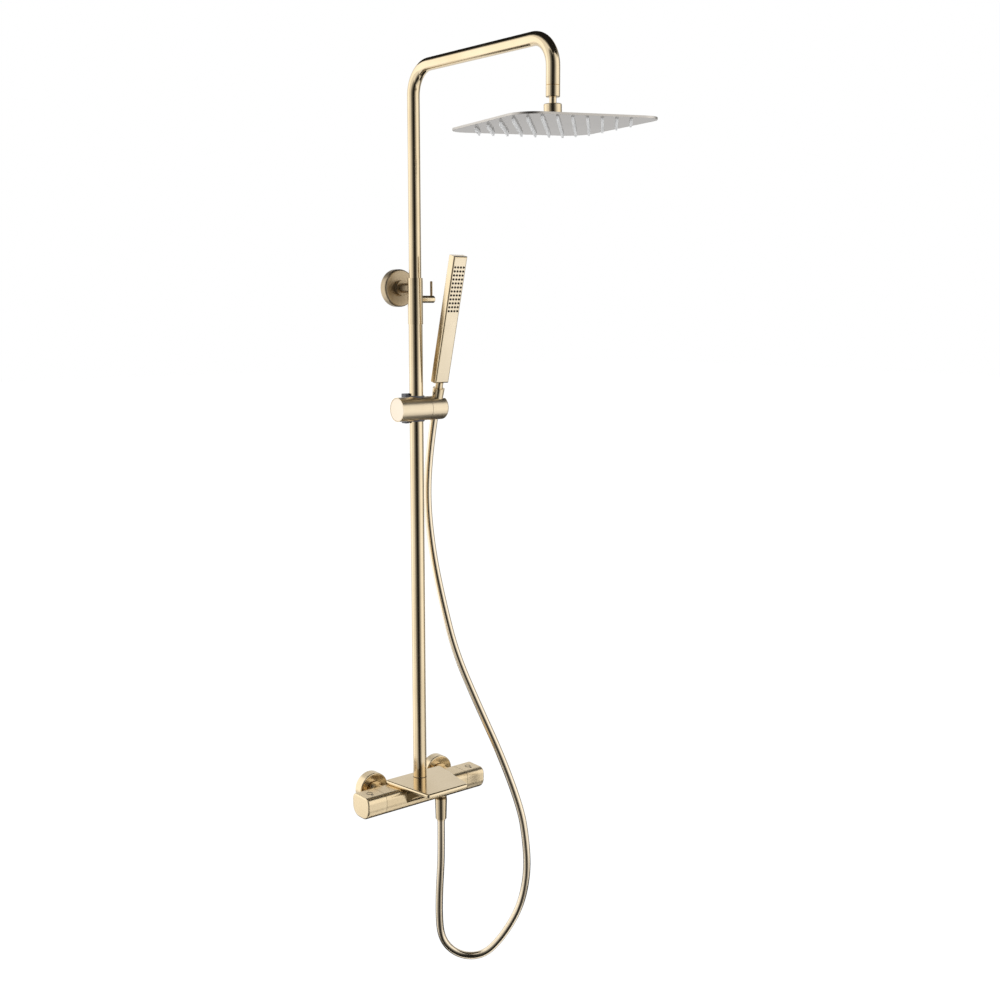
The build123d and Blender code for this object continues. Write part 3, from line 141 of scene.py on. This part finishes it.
# Studio cards, grey screens that only the metal sees, as a photographer stands them round a shiny thing.
# The dark one behind the lens draws the dark line down each pipe, and the level ones darken tops and
# undersides. Each has its place, width, height, level turn and shades from left to right.
cards = (
    ("lens_card", (-1.82, -2.35, 0.55), 7.0, 7.0, None,
     ((0, 0.75), (0.15, 0.46), (0.31, 0.2), (0.39, 0.07), (0.44, 0.015),
      (0.59, 0.015), (0.69, 0.16), (0.79, 0.4), (0.94, 0.8), (1, 0.95))),
    ("right_card", (2.6, -0.1, 0.55), 2.2, 5.0, None, ((0, 0.9), (0.25, 0.25), (0.75, 0.25), (1, 0.6))),
    ("back_card", (1.89, 2.23, 0.9), 3.4, 2.6, None, ((0, 0.9), (0.2, 0.82), (0.8, 0.82), (1, 0.9))),
    ("top_card", (0.65, 0.5, 2.7), 3.7, 5.0, 0, ((0, 0.6), (0.12, 0.015), (0.88, 0.015), (1, 0.5))),
    ("low_card", (1.0, 1.25, -0.97), 3.4, 2.6, 0, ((0, 0.4), (0.1, 0.015), (0.9, 0.015), (1, 0.4))),
    ("side_card", (1.75, -0.5, -0.96), 2.0, 0.95, 0, ((0, 0.5), (0.15, 0.015), (0.9, 0.015), (1, 0.4))),
    ("front_card", (-1.07, -1.44, -0.95), 3.9, 2.8, camera_turn[2],
     ((0, 0.85), (0.15, 0.5), (0.31, 0.2), (0.39, 0.07), (0.44, 0.015),
      (0.59, 0.015), (0.69, 0.16), (0.79, 0.4), (0.94, 0.85), (1, 0.95))),
)
for name, place, width, height, level_turn, shades in cards:
    paper = bpy.data.materials.new(name)
    paper.use_nodes = True
    tree = paper.node_tree
    tree.nodes.clear()
    across = tree.nodes.new("ShaderNodeTexCoord")
    split = tree.nodes.new("ShaderNodeSeparateXYZ")
    fade = tree.nodes.new("ShaderNodeValToRGB")
    while len(fade.color_ramp.elements) < len(shades):
        fade.color_ramp.elements.new(1.0)
    for stop, (spot, shade) in zip(fade.color_ramp.elements, shades):
        stop.position = spot
        stop.color = (shade, shade, shade, 1)
    lamp_paper = tree.nodes.new("ShaderNodeEmission")
    paper_out = tree.nodes.new("ShaderNodeOutputMaterial")
    tree.links.new(across.outputs["Generated"], split.inputs["Vector"])
    tree.links.new(split.outputs["X"], fade.inputs["Fac"])
    tree.links.new(fade.outputs["Color"], lamp_paper.inputs["Color"])
    tree.links.new(lamp_paper.outputs["Emission"], paper_out.inputs["Surface"])
    bpy.ops.mesh.primitive_plane_add(size=1, location=place)
    card = bpy.context.object
    card.name = name
    card.scale = (width, height, 1)
    if level_turn is None:
        card.rotation_euler = (aim - Vector(place)).to_track_quat("-Z", "Y").to_euler()
    else:
        card.rotation_euler.z = level_turn
    card.data.materials.append(paper)
    card.visible_camera = False
    card.visible_diffuse = False
    card.visible_shadow = False


# Wall connections, the brass unions, rosettes and hexagon nuts that carry the mixer bar.
# All that shows is plated in satin champagne gold, brushed round the turned faces.
def dress(material, *names):
    """Gives CAD pieces a finish."""
    for name in names:
        nodes[name].material_slots[0].material = material


def satin_gold(
    name, grain, light=(0.79, 0.655, 0.445), deep=(0.71, 0.57, 0.365), rough=(0.2, 0.28), brushed=0.05,
):
    """Champagne plating, with fine brush lines stretched by grain and a slow drift of tone."""
    plating = bpy.data.materials.new(name)
    plating.use_nodes = True
    tree = plating.node_tree
    shader = tree.nodes["Principled BSDF"]
    shader.inputs["Metallic"].default_value = 1.0
    place = tree.nodes.new("ShaderNodeTexCoord")
    stretch = tree.nodes.new("ShaderNodeMapping")
    stretch.inputs["Scale"].default_value = grain
    brush = tree.nodes.new("ShaderNodeTexNoise")
    brush.inputs["Scale"].default_value = 1.0
    brush.inputs["Detail"].default_value = 5.0
    brush.inputs["Roughness"].default_value = 0.6
    drift = tree.nodes.new("ShaderNodeTexNoise")
    drift.inputs["Scale"].default_value = 14.0
    drift.inputs["Detail"].default_value = 2.0
    blend = tree.nodes.new("ShaderNodeMath")
    blend.operation = "MULTIPLY_ADD"
    blend.inputs[1].default_value = 0.45
    tone = tree.nodes.new("ShaderNodeValToRGB")
    tone.color_ramp.elements[0].position = 0.45
    tone.color_ramp.elements[0].color = (*deep, 1)
    tone.color_ramp.elements[1].position = 0.95
    tone.color_ramp.elements[1].color = (*light, 1)
    sheen = tree.nodes.new("ShaderNodeMapRange")
    sheen.inputs["From Min"].default_value = 0.25
    sheen.inputs["From Max"].default_value = 0.75
    sheen.inputs["To Min"].default_value = rough[0]
    sheen.inputs["To Max"].default_value = rough[1]
    lines = tree.nodes.new("ShaderNodeBump")
    lines.inputs["Strength"].default_value = brushed
    lines.inputs["Distance"].default_value = 0.0003
    tree.links.new(place.outputs["Object"], stretch.inputs["Vector"])
    tree.links.new(stretch.outputs["Vector"], brush.inputs["Vector"])
    tree.links.new(place.outputs["Object"], drift.inputs["Vector"])
    tree.links.new(brush.outputs["Fac"], blend.inputs[0])
    tree.links.new(drift.outputs["Fac"], blend.inputs[2])
    tree.links.new(blend.outputs[0], tone.inputs["Fac"])
    tree.links.new(tone.outputs["Color"], shader.inputs["Base Color"])
    tree.links.new(brush.outputs["Fac"], sheen.inputs["Value"])
    tree.links.new(sheen.outputs["Result"], shader.inputs["Roughness"])
    tree.links.new(brush.outputs["Fac"], lines.inputs["Height"])
    tree.links.new(lines.outputs["Normal"], shader.inputs["Normal"])
    return plating


def moulded(name, colour, darker, rough, speck=400.0, depth=0.00008):
    """Moulded plastic, nylon or rubber, with a fine skin and a little colour drift."""
    skin = bpy.data.materials.new(name)
    skin.use_nodes = True
    tree = skin.node_tree
    shader = tree.nodes["Principled BSDF"]
    place = tree.nodes.new("ShaderNodeTexCoord")
    fine = tree.nodes.new("ShaderNodeTexNoise")
    fine.inputs["Scale"].default_value = speck
    fine.inputs["Detail"].default_value = 4.0
    tone = tree.nodes.new("ShaderNodeValToRGB")
    tone.color_ramp.elements[0].position = 0.3
    tone.color_ramp.elements[0].color = (*darker, 1)
    tone.color_ramp.elements[1].position = 0.7
    tone.color_ramp.elements[1].color = (*colour, 1)
    sheen = tree.nodes.new("ShaderNodeMapRange")
    sheen.inputs["To Min"].default_value = rough - 0.08
    sheen.inputs["To Max"].default_value = rough + 0.08
    grit = tree.nodes.new("ShaderNodeBump")
    grit.inputs["Strength"].default_value = 0.25
    grit.inputs["Distance"].default_value = depth
    tree.links.new(place.outputs["Object"], fine.inputs["Vector"])
    tree.links.new(fine.outputs["Fac"], tone.inputs["Fac"])
    tree.links.new(fine.outputs["Fac"], sheen.inputs["Value"])
    tree.links.new(fine.outputs["Fac"], grit.inputs["Height"])
    tree.links.new(tone.outputs["Color"], shader.inputs["Base Color"])
    tree.links.new(sheen.outputs["Result"], shader.inputs["Roughness"])
    tree.links.new(grit.outputs["Normal"], shader.inputs["Normal"])
    return skin


def pick_faces(piece, way):
    """Opens a piece in edit mode with only the faces that look one way selected."""
    bpy.ops.object.mode_set(mode="EDIT")
    bpy.ops.mesh.select_mode(type="FACE")
    bpy.ops.mesh.select_all(action="DESELECT")
    bpy.ops.object.mode_set(mode="OBJECT")
    for face in piece.data.polygons:
        face.select = face.normal.dot(Vector(way)) > 0.9
    bpy.ops.object.mode_set(mode="EDIT")


def repeat(piece, name, places):
    """Copies a finished piece to many places and joins the copies into one."""
    copies = []
    for place in places:
        copy = piece.copy()
        copy.data = piece.data.copy()
        copy.data.transform(place)
        scene.collection.objects.link(copy)
        copies.append(copy)
    bpy.data.objects.remove(piece)
    bpy.ops.object.select_all(action="DESELECT")
    for copy in copies:
        copy.select_set(True)
    bpy.context.view_layer.objects.active = copies[0]
    bpy.ops.object.join()
    joined = bpy.context.object
    joined.name = name
    return joined


rosette_gold = satin_gold("rosette_gold", (700, 60, 700))
turned_brass = satin_gold(
    "turned_brass", (900, 90, 900), light=(0.70, 0.50, 0.22), deep=(0.54, 0.37, 0.15), rough=(0.24, 0.36),
)
black_rubber = moulded("black_rubber", (0.035, 0.032, 0.030), (0.018, 0.017, 0.016), 0.55)
dress(rosette_gold, "rosettes", "union_nuts")
dress(turned_brass, "wall_unions", "inlet_tails")
dress(black_rubber, "inlet_filters")

# Mixer bar and shelf, cast in brass, ground flat and brushed along the bar before plating.
# The shelf is screwed down by the riser's base, and its top is polished brighter than the bar.
bar_gold = satin_gold(
    "bar_gold", (12, 650, 650), light=(0.78, 0.635, 0.41), deep=(0.70, 0.55, 0.34), rough=(0.22, 0.3),
    brushed=0.02,
)
shelf_gold = satin_gold("shelf_gold", (10, 420, 420), rough=(0.1, 0.17))
dress(bar_gold, "valve_body")
dress(shelf_gold, "shelf")

# Cartridges, stop rings and spindles, which sit inside the bar and the hollow knobs.
# The cartridge bodies are white nylon, and the splined spindles are brass.
white_nylon = moulded("white_nylon", (0.72, 0.71, 0.67), (0.62, 0.61, 0.57), 0.5)
plain_steel = satin_gold(
    "plain_steel", (300, 300, 300), light=(0.62, 0.62, 0.63), deep=(0.5, 0.5, 0.51), rough=(0.22, 0.34),
)
dress(white_nylon, "thermostat_cartridge", "flow_cartridge", "stop_rings")
dress(turned_brass, "thermostat_spindle", "flow_spindle")
dress(plain_steel, "temperature_knob_screw", "flow_knob_screw")

# Two knobs, hollow castings of the bar's own section, held on their spindles by a grub screw.
# A small raised ring and pointer in dark ink marks each top.
knob_gold = satin_gold(
    "knob_gold", (14, 600, 600), light=(0.81, 0.665, 0.44), deep=(0.74, 0.59, 0.37), rough=(0.24, 0.32),
    brushed=0.02,
)
dress(knob_gold, "temperature_knob", "flow_knob")
mark_ink = moulded("mark_ink", (0.05, 0.04, 0.03), (0.03, 0.025, 0.02), 0.4)
ring_radius = 0.0052
ink_radius = 0.0005
pointer_radius = 0.0032
pointer_depth = 0.0006
pointer_ahead = 0.009
for knob in ("temperature_knob", "flow_knob"):
    low, high = (Vector(corner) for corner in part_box(knob))
    middle = (low + high) / 2
    bpy.ops.object.select_all(action="DESELECT")
    bpy.ops.mesh.primitive_torus_add(
        major_segments=40, minor_segments=8, major_radius=ring_radius, minor_radius=ink_radius,
    )
    dial = bpy.context.object
    dial.data.transform(Matrix.Translation((middle.x, middle.y, high.z)))
    bpy.ops.mesh.primitive_cylinder_add(vertices=3, radius=pointer_radius, depth=pointer_depth)
    pointer = bpy.context.object
    pick_faces(pointer, (0, 0, 1))
    bpy.ops.mesh.inset(thickness=0.0004)
    bpy.ops.mesh.extrude_region_move(TRANSFORM_OT_translate={"value": (0, 0, 0.00015)})
    bpy.ops.object.mode_set(mode="OBJECT")
    pointer.data.transform(Matrix.Translation((middle.x, middle.y - pointer_ahead, high.z)))
    dial.select_set(True)
    bpy.context.view_layer.objects.active = dial
    bpy.ops.object.join()
    dial.name = knob + "_mark"
    dial.data.materials.append(mark_ink)
    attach(dial, knob)

# Riser pipe, a drawn brass tube that stands on a dark flat gasket over its base nipple.
# The tube is polished along its length, so its brush lines run upright.
riser_gold = satin_gold("riser_gold", (900, 900, 9), rough=(0.11, 0.18))
dress(riser_gold, "riser_pipe")
dress(turned_brass, "riser_base_nipple")
dress(black_rubber, "riser_seals")

# Wall bracket, a turned sleeve over the pipe with a rod and a round cover flange.
# Its steel base plate is screwed to the wall, and a grub screw holds the rod on it.
bracket_gold = satin_gold(
    "bracket_gold", (800, 60, 800), light=(0.52, 0.42, 0.28), deep=(0.45, 0.355, 0.23), rough=(0.34, 0.42),
)
sleeve_gold = satin_gold("sleeve_gold", (900, 900, 14), rough=(0.12, 0.19))
dark_nylon = moulded("dark_nylon", (0.05, 0.05, 0.05), (0.03, 0.03, 0.03), 0.45)
dress(sleeve_gold, "bracket_sleeve")
dress(bracket_gold, "wall_flange", "bracket_rod")
dress(dark_nylon, "sleeve_guide_bush")
dress(plain_steel, "bracket_base", "bracket_grub_screw")

# Height lock, a turned barrel and knob on the sleeve with a thin lever pin to turn it by.
# The knob's screw presses on the arm inside the sleeve.
lock_gold = satin_gold("lock_gold", (40, 800, 800))
lever_gold = satin_gold("lever_gold", (900, 900, 40), light=(0.55, 0.42, 0.25), deep=(0.42, 0.31, 0.18))
dress(lock_gold, "lock_barrel", "lock_knob")
dress(lever_gold, "lock_lever")

# Slider, a brass cylinder across the riser that runs on a dark plastic bush.
# A matching plastic block closes its back, and its left end is a sprung release button.
slider_gold = satin_gold(
    "slider_gold", (900, 60, 60), light=(0.80, 0.68, 0.49), deep=(0.71, 0.59, 0.41), rough=(0.3, 0.38),
)
button_gold = satin_gold(
    "button_gold", (120, 500, 500), light=(0.81, 0.71, 0.585), deep=(0.75, 0.655, 0.525), rough=(0.34, 0.42),
)
slider_plastic = moulded("slider_plastic", (0.10, 0.10, 0.11), (0.07, 0.07, 0.08), 0.42)
dress(slider_gold, "slider_body")
dress(button_gold, "slider_button")
dress(slider_plastic, "slider_bush", "slider_insert")
dress(plain_steel, "button_spring")
dress(dark_nylon, "holder_washer")

# Handset holder, the slider's right end, which turns on a stub and grips the hose nut in a cone.
# Its slot lets the hose through when the handset is lifted out.
dress(slider_gold, "handset_holder")

# Stick handset, a slim rectangular shell with a flat spray face, on a round neck and a cone nut.
# The shell is drawn brass, the face is a plate, and dark rubber nozzles come through its holes.
handset_gold = satin_gold("handset_gold", (700, 700, 10), rough=(0.14, 0.22))
face_gold = satin_gold(
    "face_gold", (500, 500, 30), light=(0.78, 0.675, 0.505), deep=(0.71, 0.605, 0.44), rough=(0.26, 0.36),
)
neck_gold = satin_gold("neck_gold", (800, 800, 40), rough=(0.14, 0.22))
dark_nozzle = moulded("dark_nozzle", (0.045, 0.033, 0.022), (0.025, 0.019, 0.013), 0.5)
dress(handset_gold, "handset_shell")
dress(face_gold, "handset_face")
lean = math.radians(14.7)
pivot = Vector((0.0385, -0.0665, 0.711))
handset_place = Matrix.Translation(pivot) @ Matrix.Rotation(lean, 4, "X")
forward = Matrix.Rotation(math.radians(-90), 4, "X")
spray_front = -0.0075
spray_top = 0.259
spray_rows = 12
spray_columns = 4
spray_step_across = 0.0062
spray_step_down = 0.0071
spray_places = []
for row in range(spray_rows):
    for column in range(spray_columns):
        aside = (column - (spray_columns - 1) / 2) * spray_step_across
        spot = Vector((aside, spray_front, spray_top - row * spray_step_down))
        spray_places.append(handset_place @ Matrix.Translation(spot) @ forward)
bpy.ops.object.select_all(action="DESELECT")
bpy.ops.mesh.primitive_cylinder_add(vertices=16, radius=0.0018, depth=0.0018)
spray_nozzle = bpy.context.object
pick_faces(spray_nozzle, (0, 0, -1))
bpy.ops.mesh.extrude_region_move(TRANSFORM_OT_translate={"value": (0, 0, -0.0003)})
bpy.ops.transform.resize(value=(0.8, 0.8, 1), center_override=(0, 0, 0))
bpy.ops.mesh.inset(thickness=0.0006)
bpy.ops.mesh.extrude_region_move(TRANSFORM_OT_translate={"value": (0, 0, 0.001)})
bpy.ops.object.mode_set(mode="OBJECT")
bpy.ops.object.shade_smooth_by_angle(angle=math.radians(40))
spray_nozzles = repeat(spray_nozzle, "spray_nozzles", spray_places)
spray_nozzles.data.materials.append(dark_nozzle)
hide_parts("handset_nozzles")
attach(spray_nozzles, "handset")
dress(neck_gold, "handset_neck", "handset_cone_nut", "hose_upper_ferrule")
dress(black_rubber, "handset_washer")

# Hose, one smooth gold tube that hangs from the handset's nut in a loop to the outlet under the bar.
# It is limp, 14 mm thick and about 1.4 m long, and its lower end has a nut on a brass thread painted dark as
# painted shade in the gap above the nut.
dress(neck_gold, "hose_fittings")
bpy.ops.object.select_all(action="DESELECT")
bpy.ops.mesh.primitive_torus_add(
    major_segments=36, minor_segments=6, major_radius=0.0104, minor_radius=0.0006,
)
thread_turn = bpy.context.object
bpy.ops.object.shade_smooth()
outlet = (0.047, -0.062)
thread_top = -0.0301
thread_pitch = 0.0012
thread_turns = 4
thread_places = []
for turn in range(thread_turns):
    thread_places.append(Matrix.Translation((*outlet, thread_top - thread_pitch * turn)))
outlet_thread = repeat(thread_turn, "outlet_thread", thread_places)
# The thread's brass is painted near black, as painted shade in its narrow gap.
shaded_thread_brass = satin_gold(
    "shaded_thread_brass", (300, 300, 900), light=(0.30, 0.22, 0.11), deep=(0.2, 0.14, 0.07), rough=(0.3, 0.4),
)
outlet_thread.data.materials.append(shaded_thread_brass)
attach(outlet_thread, "column")
upward = Vector((0, -math.sin(lean), math.cos(lean)))
hose_route = [
    pivot - upward * 0.014, pivot - upward * 0.080,
    Vector((0.0385, -0.036, 0.540)), Vector((0.042, -0.047, 0.442)), Vector((0.053, -0.065, 0.344)),
    Vector((0.070, -0.0805, 0.250)), Vector((0.101, -0.1065, 0.152)), Vector((0.137, -0.135, 0.047)),
    Vector((0.166, -0.1575, -0.058)), Vector((0.173, -0.163, -0.115)), Vector((0.176, -0.1655, -0.170)),
    Vector((0.172, -0.1625, -0.217)), Vector((0.164, -0.156, -0.256)), Vector((0.151, -0.145, -0.291)),
    Vector((0.1335, -0.1315, -0.324)), Vector((0.115, -0.1165, -0.349)), Vector((0.0945, -0.100, -0.3575)),
    Vector((0.073, -0.083, -0.353)), Vector((0.0555, -0.0685, -0.337)), Vector((0.0455, -0.0605, -0.312)),
    Vector((0.043, -0.059, -0.275)), Vector((0.0435, -0.059, -0.235)), Vector((0.045, -0.0605, -0.193)),
    Vector((*outlet, -0.151)), Vector((*outlet, -0.079)),
]
hose_line = bpy.data.curves.new("hose_line", "CURVE")
hose_line.dimensions = "3D"
hose_line.resolution_u = 10
hang = hose_line.splines.new("NURBS")
hang.points.add(len(hose_route) - 1)
for point, spot in zip(hang.points, hose_route):
    point.co = (*spot, 1)
hang.order_u = 3
hang.use_endpoint_u = True
hose_guide = bpy.data.objects.new("hose_guide", hose_line)
scene.collection.objects.link(hose_guide)
bpy.context.view_layer.update()
hose_mesh = bpy.data.meshes.new_from_object(hose_guide)
hose_points = [vertex.co.copy() for vertex in hose_mesh.vertices]
bpy.data.objects.remove(hose_guide)
bpy.data.meshes.remove(hose_mesh)
if (hose_points[0] - hose_route[0]).length > (hose_points[-1] - hose_route[0]).length:
    hose_points.reverse()
hose_radius = 0.007
hose_sides = 28


def hose_gold_skin():
    """Smooth gold hose skin, read along the tube's own map so that it follows the bends."""
    skin = bpy.data.materials.new("hose_gold")
    skin.use_nodes = True
    tree = skin.node_tree
    shader = tree.nodes["Principled BSDF"]
    shader.inputs["Metallic"].default_value = 1.0
    along = tree.nodes.new("ShaderNodeUVMap")
    along.uv_map = "hose_map"
    stretch = tree.nodes.new("ShaderNodeMapping")
    stretch.inputs["Scale"].default_value = (40, 12, 1)
    streak = tree.nodes.new("ShaderNodeTexNoise")
    streak.inputs["Scale"].default_value = 1.0
    streak.inputs["Detail"].default_value = 4.0
    tone = tree.nodes.new("ShaderNodeValToRGB")
    tone.color_ramp.elements[0].position = 0.3
    tone.color_ramp.elements[0].color = (0.82, 0.69, 0.50, 1)
    tone.color_ramp.elements[1].position = 0.7
    tone.color_ramp.elements[1].color = (0.89, 0.77, 0.59, 1)
    sheen = tree.nodes.new("ShaderNodeMapRange")
    sheen.inputs["To Min"].default_value = 0.14
    sheen.inputs["To Max"].default_value = 0.19
    tree.links.new(along.outputs["UV"], stretch.inputs["Vector"])
    tree.links.new(stretch.outputs["Vector"], streak.inputs["Vector"])
    tree.links.new(streak.outputs["Fac"], tone.inputs["Fac"])
    tree.links.new(tone.outputs["Color"], shader.inputs["Base Color"])
    tree.links.new(streak.outputs["Fac"], sheen.inputs["Value"])
    tree.links.new(sheen.outputs["Result"], shader.inputs["Roughness"])
    return skin


def nearest(spot):
    """Number of the hose point nearest to a spot."""
    return min(range(len(hose_points)), key=lambda i: (hose_points[i] - spot).length)


def hose_tube(name, path):
    """Round tube along the points of the hose's curve, closed at both ends."""
    corners = []
    faces = []
    around = None
    travelled = [0.0]
    for i, spot in enumerate(path):
        ahead = path[min(i + 1, len(path) - 1)] - path[max(i - 1, 0)]
        ahead.normalize()
        if around is None:
            around = ahead.orthogonal().normalized()
        around = (around - ahead * around.dot(ahead)).normalized()
        beside = ahead.cross(around)
        for k in range(hose_sides):
            turn = 2 * math.pi * k / hose_sides
            corners.append(spot + (around * math.cos(turn) + beside * math.sin(turn)) * hose_radius)
        if i:
            travelled.append(travelled[-1] + (spot - path[i - 1]).length)
    for i in range(len(path) - 1):
        for k in range(hose_sides):
            here = i * hose_sides
            there = here + hose_sides
            beyond = (k + 1) % hose_sides
            faces.append((here + k, here + beyond, there + beyond, there + k))
    faces.append(tuple(reversed(range(hose_sides))))
    last = (len(path) - 1) * hose_sides
    faces.append(tuple(range(last, last + hose_sides)))
    mesh = bpy.data.meshes.new(name)
    mesh.from_pydata(corners, [], faces)
    hose_map = mesh.uv_layers.new(name="hose_map")
    for polygon in mesh.polygons:
        wraps = polygon.index % hose_sides == hose_sides - 1
        for loop in polygon.loop_indices:
            ring, k = divmod(mesh.loops[loop].vertex_index, hose_sides)
            share = 1.0 if wraps and k == 0 else k / hose_sides
            hose_map.data[loop].uv = (share, travelled[ring])
        polygon.use_smooth = len(polygon.vertices) == 4
    for edge in mesh.edges:
        rings = {index // hose_sides for index in edge.vertices}
        edge.use_edge_sharp = rings == {0} or rings == {len(path) - 1}
    tube = bpy.data.objects.new(name, mesh)
    scene.collection.objects.link(tube)
    return tube


hose_gold = hose_gold_skin()
hose_cuts = [0]
for i in (1, 2, 3):
    hose_cuts.append(nearest((hose_route[i] + hose_route[i + 1]) / 2))
hose_cuts.append(len(hose_points) - 1)
hose_stretches = (
    ("hose_top_tube", "hose_at_handset", "handset", "handset_holder"),
    ("hose_bend_tube", "hose_under_slider", "handset_holder", "slider"),
    ("hose_side_tube", "hose_upper", "slider", "slider_bush"),
    ("hose_loop_tube", "hose_loop", "slider_bush", "column"),
)
loop_still = Vector((0.158, -0.151, -0.029))  # from here down, the real loop stays put when the slider moves; the tubes are not tied to any body
for number, (name, solid, upper_body, lower_body) in enumerate(hose_stretches):
    path = hose_points[hose_cuts[number] : hose_cuts[number + 1] + 1]
    tube = hose_tube(name, path)
    tube.data.materials.append(hose_gold)
    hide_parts(solid)
    low = loop_still if lower_body == "column" else path[-1]
    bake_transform(tube)

# Shower arm, a bent brass tube that telescopes in the riser on a nylon guide ring and a clip.
# A collar closes the end of its drop.
arm_gold = satin_gold("arm_gold", (500, 40, 40), rough=(0.1, 0.17))
dress(arm_gold, "shower_arm")
dress(neck_gold, "arm_collar")
dress(turned_brass, "arm_tail_plug")
dress(white_nylon, "arm_guide_ring")
dress(plain_steel, "arm_circlip")

# Ball joint, a brass ball on a stem that two nylon cups hold inside the head's nut.
# The nut is turned and polished, and the neck above it is bare for the swing.
dress(neck_gold, "ball_stem", "head_nut", "head_boss")
dress(white_nylon, "ball_ring", "ball_seat")

# Rain head, a polished steel sheet below a brushed one, with a soft white nozzle mat between them.
# Each nozzle comes through its own hole in the lower sheet, which dulls a little at a low angle and whose
# steel is painted darker than the upper sheet's, as painted shade under the head.
# The lower sheet's steel colour is darkened as painted shade on the head's underside.
head_steel = satin_gold(
    "head_steel", (60, 60, 60), light=(0.42, 0.395, 0.365), deep=(0.375, 0.35, 0.32), rough=(0.07, 0.13),
)
head_shader = head_steel.node_tree.nodes["Principled BSDF"]
head_shader.inputs["Specular Tint"].default_value = (0.77, 0.76, 0.75, 1)
white_silicone = moulded("white_silicone", (0.93, 0.92, 0.90), (0.86, 0.85, 0.83), 0.4)
dress(head_steel, "head_face_plate")
head_back_steel = satin_gold(
    "head_back_steel", (40, 500, 40), light=(0.60, 0.565, 0.52), deep=(0.53, 0.50, 0.455), rough=(0.32, 0.4),
)
dress(head_back_steel, "head_top_plate")
head_pivot = Vector((0, -0.427, 1.1887))
head_base = Vector((0, -0.427, 1.1668))
head_lean = Matrix.Rotation(math.radians(-1.8), 4, "Y")
head_yaw = Matrix.Rotation(math.radians(-11.5), 4, "Z")
head_level = Matrix.Translation(head_base - head_pivot) @ head_yaw
head_place = Matrix.Translation(head_pivot) @ head_lean @ head_level
nozzle_rows = 11
nozzle_columns = 9
nozzle_step_across = 0.0253
nozzle_step_along = 0.0203
nozzle_places = []
for row in range(nozzle_rows):
    count = nozzle_columns - row % 2
    if row in (0, nozzle_rows - 1):
        count -= 2
    for column in range(count):
        aside = (column - (count - 1) / 2) * nozzle_step_across
        along = (row - (nozzle_rows - 1) / 2) * nozzle_step_along
        spot = Vector((aside, along, 0))
        nozzle_places.append(head_place @ Matrix.Translation(spot))
bpy.ops.object.select_all(action="DESELECT")
bpy.ops.mesh.primitive_cylinder_add(vertices=14, radius=0.0024, depth=0.0016)
rain_nozzle = bpy.context.object
pick_faces(rain_nozzle, (0, 0, -1))
for drop, share in ((0.0052, 0.72), (0.0005, 0.85)):
    bpy.ops.mesh.extrude_region_move(TRANSFORM_OT_translate={"value": (0, 0, -drop)})
    bpy.ops.transform.resize(value=(share, share, 1), center_override=(0, 0, 0))
bpy.ops.mesh.inset(thickness=0.0006)
bpy.ops.mesh.extrude_region_move(TRANSFORM_OT_translate={"value": (0, 0, 0.002)})
bpy.ops.object.mode_set(mode="OBJECT")
bpy.ops.object.shade_smooth_by_angle(angle=math.radians(40))
rain_nozzles = repeat(rain_nozzle, "rain_nozzles", nozzle_places)
rain_nozzles.data.materials.append(white_silicone)
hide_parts("head_nozzles")
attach(rain_nozzles, "rain_head")
